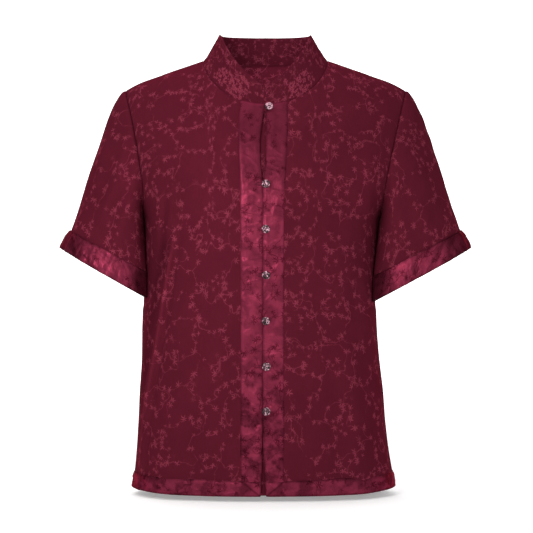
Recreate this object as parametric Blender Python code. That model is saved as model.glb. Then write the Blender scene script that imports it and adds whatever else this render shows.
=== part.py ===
"""A short-sleeved button-up shirt of figured satin, filled out as if worn, with nobody in it.

Metres, +Z up. The front faces -Y, and +X is the wearer's left, so it is on the right in a front view.
The origin is in the neck opening, at the height where the shoulder seams meet the collar.
Every cloth piece is a thin wall. Its outer face is a grid of points, and its inner face is
the same grid moved in, so pieces that lie on each other share their points.
"""

import math
from collections import namedtuple

import bmesh
import bpy
from mathutils import Vector

FRONT = -1
BACK = 1
RIGHT = -1
LEFT = 1

# Walls and seams
CLOTH = 0.0012
BAND_CLOTH = 0.0010
COLLAR_CLOTH = 0.0024
SEAM_GAP = 0.0003
EDGE_GAP = 0.00035
COLLAR_GAP = 0.0005

# Body
HEM_HEIGHT = -0.640
HEM_BAND = 0.0215
HEM_SIDE_RISE = {-1: 0.0030, 1: 0.0050}
NECK_HALF = 0.0937
FRONT_NECK_DROP = 0.0705
NECK_CURVE_POWER = 2.2
NECK_CURVE_ROOT = 0.63
SHOULDER_HALF = 0.2095
SHOULDER_SLOPE = 0.345
SHOULDER_BEND_FROM = 0.178
SHOULDER_BEND = 4.8
SHOULDER_ROLL = 0.146
ROLL_POWER = 0.62
SIDE_POWER = 2.5
NECK_RISE = {-1: 0.010, 1: 0.030}
UNDERARM_HEIGHT = -0.237

# Mesh density
ARMHOLE_ROWS = 13
ARMHOLE_ROW_EASE = 0.6
BODY_ROWS = 9
BODY_ROW_POWER = 1.25
HEM_ROWS = 2
PLACKET_COLUMNS = 3
FRONT_NECK_COLUMNS = 6
BACK_NECK_COLUMNS = 6
SHOULDER_COLUMNS = 8
SLEEVE_RINGS = 9
SLEEVE_RING_POWER = 1.3
CUFF_RINGS = 3
COLLAR_ROWS = 4
UNDERLAP_COLUMNS = 2
UNDERLAP_ROWS = 14

# Sleeve
SLEEVE_CLEARANCE = 0.0012
CUFF_CLEARANCE = 0.0026
SLEEVE_FORWARD = 0.022
SLEEVE_LEAN = 0.007
SLEEVE_HEM_SLOPE = 0.56
UNDERARM_TUCK = 0.017
CUFF_BULGE = 0.0015

# Front closure
UNDERLAP_MIDDLE = -0.0035
UNDERLAP_HALF = 0.013
UNDERLAP_TOP_GAP = 0.011
UNDERLAP_HEM_GAP = 0.0008
BUTTON_RADIUS = 0.0060
BUTTON_SIDES = 18
SHANK_RADIUS = 0.0026
LOOP_CORD_RADIUS = 0.0006
LOOP_REACH = 0.0135
LOOP_LEG_SPREAD = 0.0013
LOOP_ARC_STEPS = 8

Section = namedtuple("Section", "height half_width front_depth back_depth shift")
BODY_SECTIONS = [
    Section(-0.640, 0.1955, 0.112, 0.114, -0.0030),
    Section(-0.619, 0.1928, 0.112, 0.112, -0.0030),
    Section(-0.583, 0.1880, 0.111, 0.109, -0.0041),
    Section(-0.538, 0.1838, 0.111, 0.106, -0.0054),
    Section(-0.493, 0.1812, 0.111, 0.104, -0.0062),
    Section(-0.448, 0.1772, 0.112, 0.102, -0.0073),
    Section(-0.403, 0.1750, 0.113, 0.101, -0.0088),
    Section(-0.349, 0.1735, 0.115, 0.103, -0.0088),
    Section(-0.290, 0.1742, 0.117, 0.108, -0.0075),
    Section(-0.237, 0.1765, 0.117, 0.112, -0.0055),
    Section(-0.225, 0.1812, 0.116, 0.113, -0.0046),
    Section(-0.198, 0.1940, 0.114, 0.115, -0.0025),
    Section(-0.159, 0.2082, 0.108, 0.117, -0.0012),
    Section(-0.102, 0.2160, 0.095, 0.115, 0.0),
    Section(-0.058, 0.2180, 0.086, 0.111, 0.0),
    Section(-0.020, 0.2180, 0.082, 0.109, 0.0),
    Section(0.045, 0.2180, 0.078, 0.107, 0.0),
]

# How far the armhole edge stands from the middle of the body, seen from the front
Armhole = namedtuple("Armhole", "height reach")
ARMHOLE_EDGE = [
    Armhole(-0.237, 0.1765),
    Armhole(-0.225, 0.1767),
    Armhole(-0.198, 0.1780),
    Armhole(-0.159, 0.1835),
    Armhole(-0.102, 0.1955),
    Armhole(-0.058, 0.2062),
    Armhole(-0.0448, 0.2095),
]

# The edges of the two front bands: outer and inner edge of the wearer's right one, then of the left one
Placket = namedtuple("Placket", "height right_outer right_edge left_edge left_outer")
PLACKETS = [
    Placket(-0.640, -0.0345, -0.0074, 0.0014, 0.0272),
    Placket(-0.600, -0.0350, -0.0058, -0.0014, 0.0268),
    Placket(-0.560, -0.0352, -0.0048, -0.0034, 0.0266),
    Placket(-0.517, -0.0355, -0.0043, -0.0036, 0.0264),
    Placket(-0.452, -0.0358, -0.0043, -0.0036, 0.0262),
    Placket(-0.320, -0.0364, -0.0043, -0.0036, 0.0262),
    Placket(-0.189, -0.0372, -0.0045, -0.0034, 0.0285),
    Placket(-0.160, -0.0388, -0.0070, -0.0004, 0.0305),
    Placket(-0.126, -0.0396, -0.0080, 0.0010, 0.0320),
    Placket(-0.097, -0.0388, -0.0050, 0.0012, 0.0325),
    Placket(-0.0705, -0.0370, -0.0004, 0.0012, 0.0325),
]

# Soft upright folds: where each runs at the hem and where it fades out, and how deep and wide it is
Fold = namedtuple("Fold", "facing hem_x top_x top depth width")
FOLDS = [
    Fold(FRONT, -0.145, -0.116, -0.290, 0.0024, 0.022),
    Fold(FRONT, -0.095, -0.103, -0.407, -0.0018, 0.020),
    Fold(FRONT, 0.139, 0.114, -0.271, 0.0022, 0.021),
    Fold(FRONT, 0.089, 0.079, -0.436, -0.0016, 0.022),
    Fold(BACK, -0.126, -0.093, -0.203, 0.0032, 0.024),
    Fold(BACK, -0.056, -0.039, -0.320, -0.0028, 0.026),
    Fold(BACK, 0.019, 0.012, -0.252, 0.0026, 0.024),
    Fold(BACK, 0.087, 0.064, -0.349, -0.0026, 0.024),
    Fold(BACK, 0.137, 0.112, -0.213, 0.0030, 0.023),
]

# Rings of the sleeve below its cap: the outer end, the height of the inner end, and half the depth
SleeveRing = namedtuple("SleeveRing", "outer_x outer_height inner_height half_depth")
CUFF_TOP = {
    RIGHT: SleeveRing(0.2912, -0.2552, -0.3180, 0.049),
    LEFT: SleeveRing(0.2914, -0.2550, -0.3245, 0.049),
}
CUFF_HEM = {
    RIGHT: SleeveRing(0.3050, -0.2806, -0.3565, 0.053),
    LEFT: SleeveRing(0.3052, -0.2806, -0.3625, 0.053),
}

# The collar's upper edge by the turn round the neck, from the front at 0 to the back at 180
CollarEdge = namedtuple("CollarEdge", "turn height reach")
COLLAR_TOP = [
    CollarEdge(0, -0.0440, 0.0660),
    CollarEdge(18, -0.0285, 0.0668),
    CollarEdge(34, -0.0115, 0.0676),
    CollarEdge(50, 0.0075, 0.0686),
    CollarEdge(64, 0.0245, 0.0692),
    CollarEdge(77, 0.0362, 0.0692),
    CollarEdge(90, 0.0386, 0.0692),
    CollarEdge(115, 0.0392, 0.0672),
    CollarEdge(145, 0.0397, 0.0620),
    CollarEdge(180, 0.0400, 0.0582),
]
COLLAR_HOLLOW = 0.0012
COLLAR_END_TURN = 4

Fastening = namedtuple("Fastening", "x height")
FASTENINGS = [
    Fastening(0.0051, -0.0760),
    Fastening(0.0006, -0.1892),
    Fastening(0.0006, -0.2540),
    Fastening(0.0012, -0.3202),
    Fastening(0.0006, -0.3865),
    Fastening(0.0012, -0.4524),
    Fastening(0.0012, -0.5172),
]

# A button turned round its middle: radius, and height above the cloth it is sewn to
BUTTON_PROFILE = [
    (0.0, 0.0003),
    (SHANK_RADIUS, 0.0003),
    (SHANK_RADIUS, 0.0018),
    (0.0050, 0.0018),
    (0.0058, 0.0023),
    (BUTTON_RADIUS, 0.0030),
    (0.0057, 0.0037),
    (0.0050, 0.0040),
    (0.0042, 0.0037),
    (0.0034, 0.0032),
    (0.0, 0.0031),
]

FINISHES = {
    "ground_satin": ((0.115, 0.012, 0.026), 0.55, 0.0),
    "shiny_satin": ((0.220, 0.022, 0.052), 0.35, 0.0),
    "collar_satin": ((0.130, 0.015, 0.032), 0.50, 0.0),
    "button_shell": ((0.160, 0.050, 0.070), 0.15, 0.0),
    "loop_cord": ((0.110, 0.012, 0.026), 0.60, 0.0),
}


def clear_scene():
    for thing in list(bpy.data.objects):
        bpy.data.objects.remove(thing)


def finish_of(name):
    """A plain material of that finish, made once."""
    material = bpy.data.materials.get(name)
    if material:
        return material
    colour, roughness, metallic = FINISHES[name]
    material = bpy.data.materials.new(name)
    material.use_nodes = True
    shader = material.node_tree.nodes["Principled BSDF"]
    shader.inputs["Base Color"].default_value = (*colour, 1.0)
    shader.inputs["Roughness"].default_value = roughness
    shader.inputs["Metallic"].default_value = metallic
    return material


def hermite(start, start_pull, end, end_pull, t):
    """A point on a smooth curve with a given start, end and pull at each, for numbers or vectors."""
    return (
        start * (2 * t**3 - 3 * t**2 + 1)
        + start_pull * (t**3 - 2 * t**2 + t)
        + end * (3 * t**2 - 2 * t**3)
        + end_pull * (t**3 - t**2)
    )


def curve_through(rows, along, column):
    """A function that runs smoothly through one column of a table, by another column."""
    points = sorted((getattr(row, along), getattr(row, column)) for row in rows)
    slopes = []
    for i in range(len(points)):
        before, after = points[max(i - 1, 0)], points[min(i + 1, len(points) - 1)]
        slopes.append((after[1] - before[1]) / (after[0] - before[0]))

    def value(at):
        if at <= points[0][0]:
            return points[0][1]
        if at >= points[-1][0]:
            return points[-1][1]
        i = max(k for k in range(len(points) - 1) if points[k][0] <= at)
        width = points[i + 1][0] - points[i][0]
        t = (at - points[i][0]) / width
        return hermite(points[i][1], slopes[i] * width, points[i + 1][1], slopes[i + 1] * width, t)

    return value


half_width_at = curve_through(BODY_SECTIONS, "height", "half_width")
depth_at = {
    FRONT: curve_through(BODY_SECTIONS, "height", "front_depth"),
    BACK: curve_through(BODY_SECTIONS, "height", "back_depth"),
}
shift_at = curve_through(BODY_SECTIONS, "height", "shift")
armhole_at = curve_through(ARMHOLE_EDGE, "height", "reach")
placket_at = {
    RIGHT: (
        curve_through(PLACKETS, "height", "right_edge"),
        curve_through(PLACKETS, "height", "right_outer"),
    ),
    LEFT: (
        curve_through(PLACKETS, "height", "left_edge"),
        curve_through(PLACKETS, "height", "left_outer"),
    ),
}
collar_height_at = curve_through(COLLAR_TOP, "turn", "height")
collar_reach_at = curve_through(COLLAR_TOP, "turn", "reach")


def shoulder_height(x):
    """The height of the shoulder seam, which bends down near the sleeve."""
    bend = max(abs(x) - SHOULDER_BEND_FROM, 0.0)
    return -SHOULDER_SLOPE * (abs(x) - NECK_HALF) - SHOULDER_BEND * bend**2


def roll_height(facing, x):
    """The height from which the cloth rolls forward or back over the shoulders and round the neck."""
    if abs(x) >= NECK_HALF:
        return shoulder_height(x)
    return NECK_RISE[facing] * (1.0 - (x / NECK_HALF) ** 2)


def neck_height(facing, x):
    """The height of the collar seam, low at the front and level behind."""
    if facing == BACK:
        return 0.0
    share = min(abs(x) / NECK_HALF, 1.0) ** NECK_CURVE_POWER
    return -FRONT_NECK_DROP * (1.0 - share) ** NECK_CURVE_ROOT


def top_height(facing, x):
    """The upper edge of a panel: the collar seam, then the shoulder seam."""
    return neck_height(facing, x) if abs(x) < NECK_HALF else shoulder_height(x)


def fold_depth(facing, x, height):
    """How far the soft folds move the cloth out at a point."""
    total = 0.0
    for fold in FOLDS:
        if fold.facing != facing or height > fold.top:
            continue
        down = (fold.top - height) / (fold.top - HEM_HEIGHT)
        middle = fold.top_x + (fold.hem_x - fold.top_x) * down
        across = (x - middle) / fold.width
        total += fold.depth * math.sin(min(down * 1.6, 1.0) * math.pi / 2) * math.exp(-(across**2))
    return total


def body_point(facing, x, height):
    """The outer face of the body at a place seen from the front."""
    across = min(abs(x - shift_at(height)) / half_width_at(height), 1.0)
    rounded = math.sqrt(1.0 - across**SIDE_POWER)
    drop = min(max(roll_height(facing, x) - height, 0.0) / SHOULDER_ROLL, 1.0)
    rolled = (1.0 - (1.0 - drop) ** 2) ** ROLL_POWER
    depth = depth_at[facing](height) + fold_depth(facing, x, height)
    return Vector((x, facing * (SEAM_GAP / 2 + depth * rolled * rounded), height))


def edge_reach(height):
    """How far the panel's outer edge stands from the middle: the armhole, then the side seam."""
    return armhole_at(height) if height > UNDERARM_HEIGHT else half_width_at(height)


def row_heights():
    """The heights of the grid's rows at the outer edge of a panel, from the shoulder tip to the hem."""
    tip = shoulder_height(SHOULDER_HALF)
    band_top = HEM_HEIGHT + HEM_BAND
    rows = []
    for i in range(ARMHOLE_ROWS):
        even = i / ARMHOLE_ROWS
        eased = (1 - math.cos(math.pi * even)) / 2
        rows.append(tip + (UNDERARM_HEIGHT - tip) * (even + (eased - even) * ARMHOLE_ROW_EASE))
    for i in range(BODY_ROWS):
        rows.append(UNDERARM_HEIGHT + (band_top - UNDERARM_HEIGHT) * (i / BODY_ROWS) ** BODY_ROW_POWER)
    for i in range(HEM_ROWS + 1):
        rows.append(band_top - HEM_BAND * i / HEM_ROWS)
    return rows


def closing_shares(count):
    """Places from 0 to 1 that come closer together towards 1, without the first."""
    return [math.sin(math.pi / 2 * i / count) for i in range(1, count + 1)]


def hem_height(x):
    """The lower edge, which is a little higher at the side seams."""
    side = LEFT if x > 0 else RIGHT
    return HEM_HEIGHT + HEM_SIDE_RISE[side] * (abs(x) / half_width_at(HEM_HEIGHT)) ** 6


def row_height(facing, top_x, hem_x, share):
    """The height of a column at a row, which lies that share of the way down to the hem."""
    top = top_height(facing, top_x)
    return top + (hem_height(hem_x) - top) * share


def front_columns(side, heights, share):
    """The x places of a front panel's columns at one row."""
    middle_height = -FRONT_NECK_DROP + (HEM_HEIGHT + FRONT_NECK_DROP) * share
    edge, outer = (curve(middle_height) for curve in placket_at[side])
    neck_edge = placket_at[side][1](-FRONT_NECK_DROP)
    neck_share = (NECK_HALF - abs(neck_edge)) / (SHOULDER_HALF - abs(neck_edge))
    reach = shift_at(heights) + side * edge_reach(heights)
    places = [edge + (outer - edge) * i / PLACKET_COLUMNS for i in range(PLACKET_COLUMNS + 1)]
    for part in closing_shares(FRONT_NECK_COLUMNS):
        places.append(outer + (reach - outer) * neck_share * part)
    for part in closing_shares(SHOULDER_COLUMNS):
        places.append(outer + (reach - outer) * (neck_share + (1 - neck_share) * part))
    return places


def back_columns(side, heights):
    """The x places of half the back panel's columns at one row, from the middle out."""
    neck_share = NECK_HALF / SHOULDER_HALF
    centre = shift_at(heights)
    reach = side * edge_reach(heights)
    places = [centre]
    for part in closing_shares(BACK_NECK_COLUMNS):
        places.append(centre + reach * neck_share * part)
    for part in closing_shares(SHOULDER_COLUMNS):
        places.append(centre + reach * (neck_share + (1 - neck_share) * part))
    return places


def panel_grid(facing, columns_at):
    """The rows of points of a panel's outer face, from its top edge to the hem."""
    heights = row_heights()
    top, bottom = heights[0], heights[-1]
    grid = []
    top_places, hem_places = columns_at(top, 0.0), columns_at(bottom, 1.0)
    for height in heights:
        share = (top - height) / (top - bottom)
        row = []
        for top_x, hem_x, x in zip(top_places, hem_places, columns_at(height, share)):
            row.append(body_point(facing, x, row_height(facing, top_x, hem_x, share)))
        grid.append(row)
    return grid


def front_grid(side):
    return panel_grid(FRONT, lambda height, share: front_columns(side, height, share))


def back_grid():
    def columns(height, share):
        right = back_columns(RIGHT, height)
        left = back_columns(LEFT, height)
        return right[:0:-1] + left

    return panel_grid(BACK, columns)


def grid_normals(grid, around, away_from):
    """Unit normals of a grid, turned away from the point that away_from gives for each point."""
    rows, columns = len(grid), len(grid[0])
    normals = []
    agreement = 0.0
    for r in range(rows):
        line = []
        for c in range(columns):
            up, down = grid[max(r - 1, 0)][c], grid[min(r + 1, rows - 1)][c]
            if around:
                left, right = grid[r][c - 1], grid[r][(c + 1) % columns]
            else:
                left, right = grid[r][max(c - 1, 0)], grid[r][min(c + 1, columns - 1)]
            normal = (right - left).cross(up - down).normalized()
            agreement += normal.dot((grid[r][c] - away_from(grid[r][c])).normalized())
            line.append(normal)
        normals.append(line)
    if agreement < 0:
        normals = [[-normal for normal in line] for line in normals]
    return normals


def moved(grid, normals, distance):
    return [
        [point + normal * distance for point, normal in zip(points, line)]
        for points, line in zip(grid, normals)
    ]


def without_y(normal):
    """The normal laid in the plane of a seam between front and back, so that both walls end there."""
    return Vector((normal.x, 0.0, normal.z)).normalized()


def body_middle(point):
    return Vector((0.0, 0.0, point.z - abs(point.x) * 0.3))


def panel_normals(grid, outer_columns):
    """A panel's normals, with those on its shoulder and side seams laid in the seam's plane."""
    normals = grid_normals(grid, False, body_middle)
    for c, point in enumerate(grid[0]):
        if abs(point.x) > NECK_HALF - SEAM_GAP:
            normals[0][c] = without_y(normals[0][c])
    for c in outer_columns:
        for r in range(ARMHOLE_ROWS, len(grid)):
            normals[r][c] = without_y(normals[r][c])
    return normals


def wall(name, outer, inner, finish, around=False):
    """A closed wall between two grids of points, as one named object."""
    rows, columns = len(outer), len(outer[0])
    mesh = bmesh.new()
    skins = [[[mesh.verts.new(point) for point in row] for row in grid] for grid in (outer, inner)]
    steps = columns if around else columns - 1
    for skin in skins:
        for r in range(rows - 1):
            for c in range(steps):
                after = (c + 1) % columns
                mesh.faces.new((skin[r][c], skin[r][after], skin[r + 1][after], skin[r + 1][c]))
    front, back = skins
    for r in (0, rows - 1):
        for c in range(steps):
            after = (c + 1) % columns
            mesh.faces.new((front[r][c], front[r][after], back[r][after], back[r][c]))
    if not around:
        for c in (0, columns - 1):
            for r in range(rows - 1):
                mesh.faces.new((front[r][c], front[r + 1][c], back[r + 1][c], back[r][c]))
    bmesh.ops.recalc_face_normals(mesh, faces=mesh.faces)
    return as_object(name, mesh, finish)


def as_object(name, mesh, finish):
    data = bpy.data.meshes.new(name)
    mesh.to_mesh(data)
    mesh.free()
    data.shade_smooth()
    data.set_sharp_from_angle(angle=math.radians(40))
    data.materials.append(finish_of(finish))
    thing = bpy.data.objects.new(name, data)
    bpy.context.scene.collection.objects.link(thing)
    return thing


def cloth_piece(name, grid, normals, out, thickness, finish, around=False):
    """A wall of cloth whose outer face lies a distance out from the grid."""
    outer = moved(grid, normals, out)
    inner = moved(grid, normals, out - thickness)
    return wall(name, outer, inner, finish, around)


def part_of(grid, rows, columns):
    return [row[columns] for row in grid[rows]]


def pulled_apart(grid, row, toward, distance):
    """The grid with one edge row drawn in along the cloth, to leave a seam gap."""
    drawn = [list(points) for points in grid]
    for c, point in enumerate(grid[row]):
        drawn[row][c] = point + (grid[toward][c] - point).normalized() * distance
    return drawn


def lies_on(name, grid, normals, rows, columns, finish, around=False, gap_row=None):
    """A band made from a panel's own points, moved out so that it lies on it."""
    points = part_of(grid, rows, columns)
    directions = part_of(normals, rows, columns)
    if gap_row is not None:
        neighbour = 1 if gap_row == 0 else -2
        points = pulled_apart(points, gap_row, neighbour, EDGE_GAP)
    return cloth_piece(
        name, points, directions, SEAM_GAP + BAND_CLOTH, BAND_CLOTH, finish, around
    )


def make_front(side, name):
    """A front panel with its band down the opening and its hem band."""
    grid = front_grid(side)
    normals = panel_normals(grid, [-1])
    cloth_piece(f"front_{name}", grid, normals, 0.0, CLOTH, "ground_satin")
    placket = slice(0, PLACKET_COLUMNS + 1)
    above_hem = slice(0, len(grid) - HEM_ROWS)
    lies_on(f"placket_{name}", grid, normals, above_hem, placket, "shiny_satin", gap_row=-1)
    hem = slice(len(grid) - HEM_ROWS - 1, len(grid))
    lies_on(f"hem_front_{name}", grid, normals, hem, slice(None), "shiny_satin")
    return grid, normals


def make_back():
    grid = back_grid()
    normals = panel_normals(grid, [0, -1])
    cloth_piece("back", grid, normals, 0.0, CLOTH, "ground_satin")
    hem = slice(len(grid) - HEM_ROWS - 1, len(grid))
    lies_on("hem_back", grid, normals, hem, slice(None), "shiny_satin")
    return grid, normals


def edge_directions(line, normals, closed, outward_at, outward):
    """The direction in the cloth, square to an edge, that leads off it at each of its points."""
    count = len(line)
    found = []
    for i in range(count):
        before = line[i - 1] if closed or i > 0 else line[i]
        after = line[(i + 1) % count] if closed or i < count - 1 else line[i]
        found.append((after - before).cross(normals[i]).normalized())
    if found[outward_at].dot(outward) < 0:
        found = [-direction for direction in found]
    return found


def body_side_x(side, y, height):
    """Where the body's outer face stands at a depth and height, below the underarm."""
    facing = FRONT if y < 0 else BACK
    inward = min(abs(y) / depth_at[facing](height), 1.0)
    return shift_at(height) + side * half_width_at(height) * (1.0 - inward**2) ** (1 / SIDE_POWER)


def beside_body(point, side, clearance):
    """A sleeve point, kept just clear of the body below the underarm so that it lies along it."""
    below = min(max((UNDERARM_HEIGHT - point.z) / clearance, 0.0), 1.0)
    nearest = body_side_x(side, point.y, point.z) + side * clearance * below
    push = side * (nearest - point.x)
    if below == 0.0 or push <= 0.0:
        return point
    return Vector((nearest, point.y, point.z + push * SLEEVE_HEM_SLOPE))


def sleeve_ring_point(ring, side, turn):
    """A point of a sleeve ring; the turn is 0 at its outer end, and positive towards the front."""
    outer = Vector((side * ring.outer_x, 0.0, ring.outer_height))
    inner = Vector((0.0, -SLEEVE_FORWARD, ring.inner_height))
    inner.x = body_side_x(side, inner.y, inner.z) - side * SLEEVE_LEAN
    middle = (outer + inner) / 2
    return middle + (outer - inner) / 2 * math.cos(turn) - Vector((0, ring.half_depth * math.sin(turn), 0))


def armhole_loop(side, front, back):
    """The armhole's points and normals, from the underarm up the front, over and down the back."""
    front_points, front_normals = front
    back_points, back_normals = back
    column = 0 if side == RIGHT else -1
    line = [front_points[r][-1] for r in range(ARMHOLE_ROWS, -1, -1)]
    normals = [front_normals[r][-1] for r in range(ARMHOLE_ROWS, -1, -1)]
    line[0] = (front_points[ARMHOLE_ROWS][-1] + back_points[ARMHOLE_ROWS][column]) / 2
    line[-1] = (front_points[0][-1] + back_points[0][column]) / 2
    for r in range(1, ARMHOLE_ROWS):
        line.append(back_points[r][column])
        normals.append(back_normals[r][column])
    return line, normals


def loop_turns(line):
    """The turn round the sleeve at each armhole point: pi at the underarm, 0 at the shoulder tip."""
    half = ARMHOLE_ROWS
    lengths = [0.0]
    for i in range(len(line)):
        lengths.append(lengths[-1] + (line[(i + 1) % len(line)] - line[i]).length)
    front_length, whole = lengths[half], lengths[-1]
    turns = []
    for length in lengths[:-1]:
        if length <= front_length:
            turns.append(math.pi * (1 - length / front_length))
        else:
            turns.append(-math.pi * (length - front_length) / (whole - front_length))
    return turns


def sleeve_leave(side, turn):
    """How the sleeve leaves the armhole: out, down over the shoulder, and up out of the underarm."""
    top = math.cos(turn)
    out = 0.048 + 0.026 * top - UNDERARM_TUCK * max(-top, 0.0) ** 2
    down = 0.011 + 0.025 * top
    forward = 0.012 * math.sin(turn)
    return Vector((side * out, -forward, -down))


def sleeve_grid(side, line, normals):
    """The rings of the sleeve's outer face, from the armhole to its hem."""
    tip = ARMHOLE_ROWS
    cuff_top, cuff_hem = CUFF_TOP[side], CUFF_HEM[side]
    leads = edge_directions(line, normals, True, tip, Vector((side, 0, 0)))
    starts = [point + lead * EDGE_GAP for point, lead in zip(line, leads)]
    turns = loop_turns(line)
    rings = []
    for k in range(SLEEVE_RINGS + 1):
        t = (k / SLEEVE_RINGS) ** SLEEVE_RING_POWER
        ring = []
        for start, turn in zip(starts, turns):
            end = sleeve_ring_point(cuff_top, side, turn)
            pull = (end - start) * 0.9
            point = hermite(start, sleeve_leave(side, turn), end, pull, t)
            clearance = SLEEVE_CLEARANCE + (CUFF_CLEARANCE - SLEEVE_CLEARANCE) * t**3
            ring.append(beside_body(point, side, clearance) if k else point)
        rings.append(ring)
    for k in range(1, CUFF_RINGS + 1):
        share = k / CUFF_RINGS
        swell = CUFF_BULGE * math.sin(math.pi * share)
        ring = []
        for turn in turns:
            upper = sleeve_ring_point(cuff_top, side, turn)
            lower = sleeve_ring_point(cuff_hem, side, turn)
            outward = Vector((side * math.cos(turn), -math.sin(turn), 0)) * swell * (1 + math.cos(turn)) / 2
            ring.append(beside_body(upper.lerp(lower, share) + outward, side, CUFF_CLEARANCE))
        rings.append(ring)
    return rings


def make_sleeve(side, name, front, back):
    line, normals = armhole_loop(side, front, back)
    grid = sleeve_grid(side, line, normals)
    upper = Vector((side * 0.194, 0.0, -0.141))
    hem = CUFF_HEM[side]
    lower = (sleeve_ring_point(hem, side, 0) + sleeve_ring_point(hem, side, math.pi)) / 2
    axis = (lower - upper).normalized()

    def middle(point):
        return upper + axis * (point - upper).dot(axis)

    sleeve_normals = grid_normals(grid, True, middle)
    sleeve_normals[0] = [(a + b).normalized() for a, b in zip(normals, sleeve_normals[0])]
    cloth_piece(f"sleeve_{name}", grid, sleeve_normals, 0.0, CLOTH, "ground_satin", around=True)
    cuff = slice(len(grid) - CUFF_RINGS - 1, len(grid))
    lies_on(f"cuff_{name}", grid, sleeve_normals, cuff, slice(None), "shiny_satin", around=True)


def collar_seam(fronts, back):
    """The collar seam's points and normals, from the wearer's right front end round to the left one."""
    line, normals = [], []

    def add(panel, panel_normals, columns):
        for c in columns:
            line.append(panel[0][c])
            normals.append(panel_normals[0][c])

    neck_column = PLACKET_COLUMNS + FRONT_NECK_COLUMNS
    middle = BACK_NECK_COLUMNS + SHOULDER_COLUMNS
    add(*fronts[RIGHT], range(neck_column + 1))
    add(*back, range(middle - BACK_NECK_COLUMNS + 1, middle + BACK_NECK_COLUMNS))
    add(*fronts[LEFT], range(neck_column, -1, -1))
    for i in (neck_column, len(line) - 1 - neck_column):
        line[i] = Vector((line[i].x, 0.0, line[i].z))
    return line, normals


def collar_top_point(seam):
    """The point of the collar's upper edge above a point of its seam."""
    share = max(-1.0, min(1.0, seam.x / NECK_HALF))
    turn = abs(math.degrees(math.asin(share)))
    if seam.y > 0:
        turn = 180 - turn
    reach = collar_reach_at(turn)
    angle = math.radians(turn)
    x = math.copysign(collar_reach_at(90) * math.sin(angle), seam.x)
    if turn < COLLAR_END_TURN:
        x = seam.x
    return Vector((x, -reach * math.cos(angle), collar_height_at(turn)))


def make_collar(fronts, back):
    line, normals = collar_seam(fronts, back)
    leads = edge_directions(line, normals, False, len(line) // 2, Vector((0, -1, 1)))
    grid = []
    for k in range(COLLAR_ROWS + 1):
        share = k / COLLAR_ROWS
        row = []
        for seam, lead in zip(line, leads):
            top = collar_top_point(seam)
            hollow = Vector((seam.x, seam.y, 0)).normalized() * COLLAR_HOLLOW * math.sin(math.pi * share)
            row.append((seam + lead * COLLAR_GAP).lerp(top, share) - hollow)
        grid.append(row)
    collar_normals = grid_normals(grid, False, body_middle)
    collar_normals[0] = normals
    inner = moved(grid, collar_normals, -COLLAR_CLOTH)
    inner[0] = moved(grid, collar_normals, -CLOTH)[0]
    wall("collar", grid, inner, "collar_satin")


def make_underlap():
    """The strip behind the front opening, which shows where the two bands part."""
    top = -FRONT_NECK_DROP - UNDERLAP_TOP_GAP
    bottom = HEM_HEIGHT + UNDERLAP_HEM_GAP
    grid = []
    for r in range(UNDERLAP_ROWS + 1):
        z = top + (bottom - top) * r / UNDERLAP_ROWS
        steps = [2 * i / UNDERLAP_COLUMNS - 1 for i in range(UNDERLAP_COLUMNS + 1)]
        grid.append([body_point(FRONT, UNDERLAP_MIDDLE + UNDERLAP_HALF * step, z) for step in steps])
    normals = grid_normals(grid, False, body_middle)
    behind = -(CLOTH + SEAM_GAP)
    cloth_piece("underlap", grid, normals, behind, BAND_CLOTH, "ground_satin")


def turned(name, profile, sides):
    """A closed mesh turned round Z from a profile that starts and ends on the axis."""
    mesh = bmesh.new()
    rings = []
    for radius, height in profile:
        if radius == 0.0:
            rings.append([mesh.verts.new((0, 0, height))])
            continue
        angles = [2 * math.pi * i / sides for i in range(sides)]
        rings.append(
            [mesh.verts.new((radius * math.cos(a), radius * math.sin(a), height)) for a in angles]
        )
    for low, high in zip(rings, rings[1:]):
        for i in range(sides):
            after = (i + 1) % sides
            corners = [low[i % len(low)], low[after % len(low)], high[after % len(high)], high[i % len(high)]]
            mesh.faces.new(list(dict.fromkeys(corners)))
    bmesh.ops.recalc_face_normals(mesh, faces=mesh.faces)
    data = bpy.data.meshes.new(name)
    mesh.to_mesh(data)
    mesh.free()
    return data


def button_mesh():
    """A button with a raised rim and a dished middle, on its short shank."""
    data = turned("button", BUTTON_PROFILE, BUTTON_SIDES)
    data.shade_smooth()
    data.set_sharp_from_angle(angle=math.radians(40))
    data.materials.append(finish_of("button_shell"))
    return data


def loop_curve():
    """The cord loop in a button's own frame: two legs on the right band, and a turn round the shank."""
    ring = SHANK_RADIUS + SEAM_GAP + LOOP_CORD_RADIUS
    height = SEAM_GAP + LOOP_CORD_RADIUS
    path = [(-LOOP_REACH, LOOP_LEG_SPREAD), (-LOOP_REACH / 2, LOOP_LEG_SPREAD * 1.6)]
    for i in range(LOOP_ARC_STEPS + 1):
        angle = math.radians(100 - 200 * i / LOOP_ARC_STEPS)
        path.append((ring * math.cos(angle), ring * math.sin(angle)))
    path += [(-LOOP_REACH / 2, -LOOP_LEG_SPREAD * 1.6), (-LOOP_REACH, -LOOP_LEG_SPREAD)]
    curve = bpy.data.curves.new("loop", "CURVE")
    curve.dimensions = "3D"
    curve.bevel_depth = LOOP_CORD_RADIUS
    curve.bevel_resolution = 1
    curve.use_fill_caps = True
    spline = curve.splines.new("POLY")
    spline.points.add(len(path) - 1)
    for point, (x, y) in zip(spline.points, path):
        point.co = (x, y, height, 1.0)
    curve.materials.append(finish_of("loop_cord"))
    return curve


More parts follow.
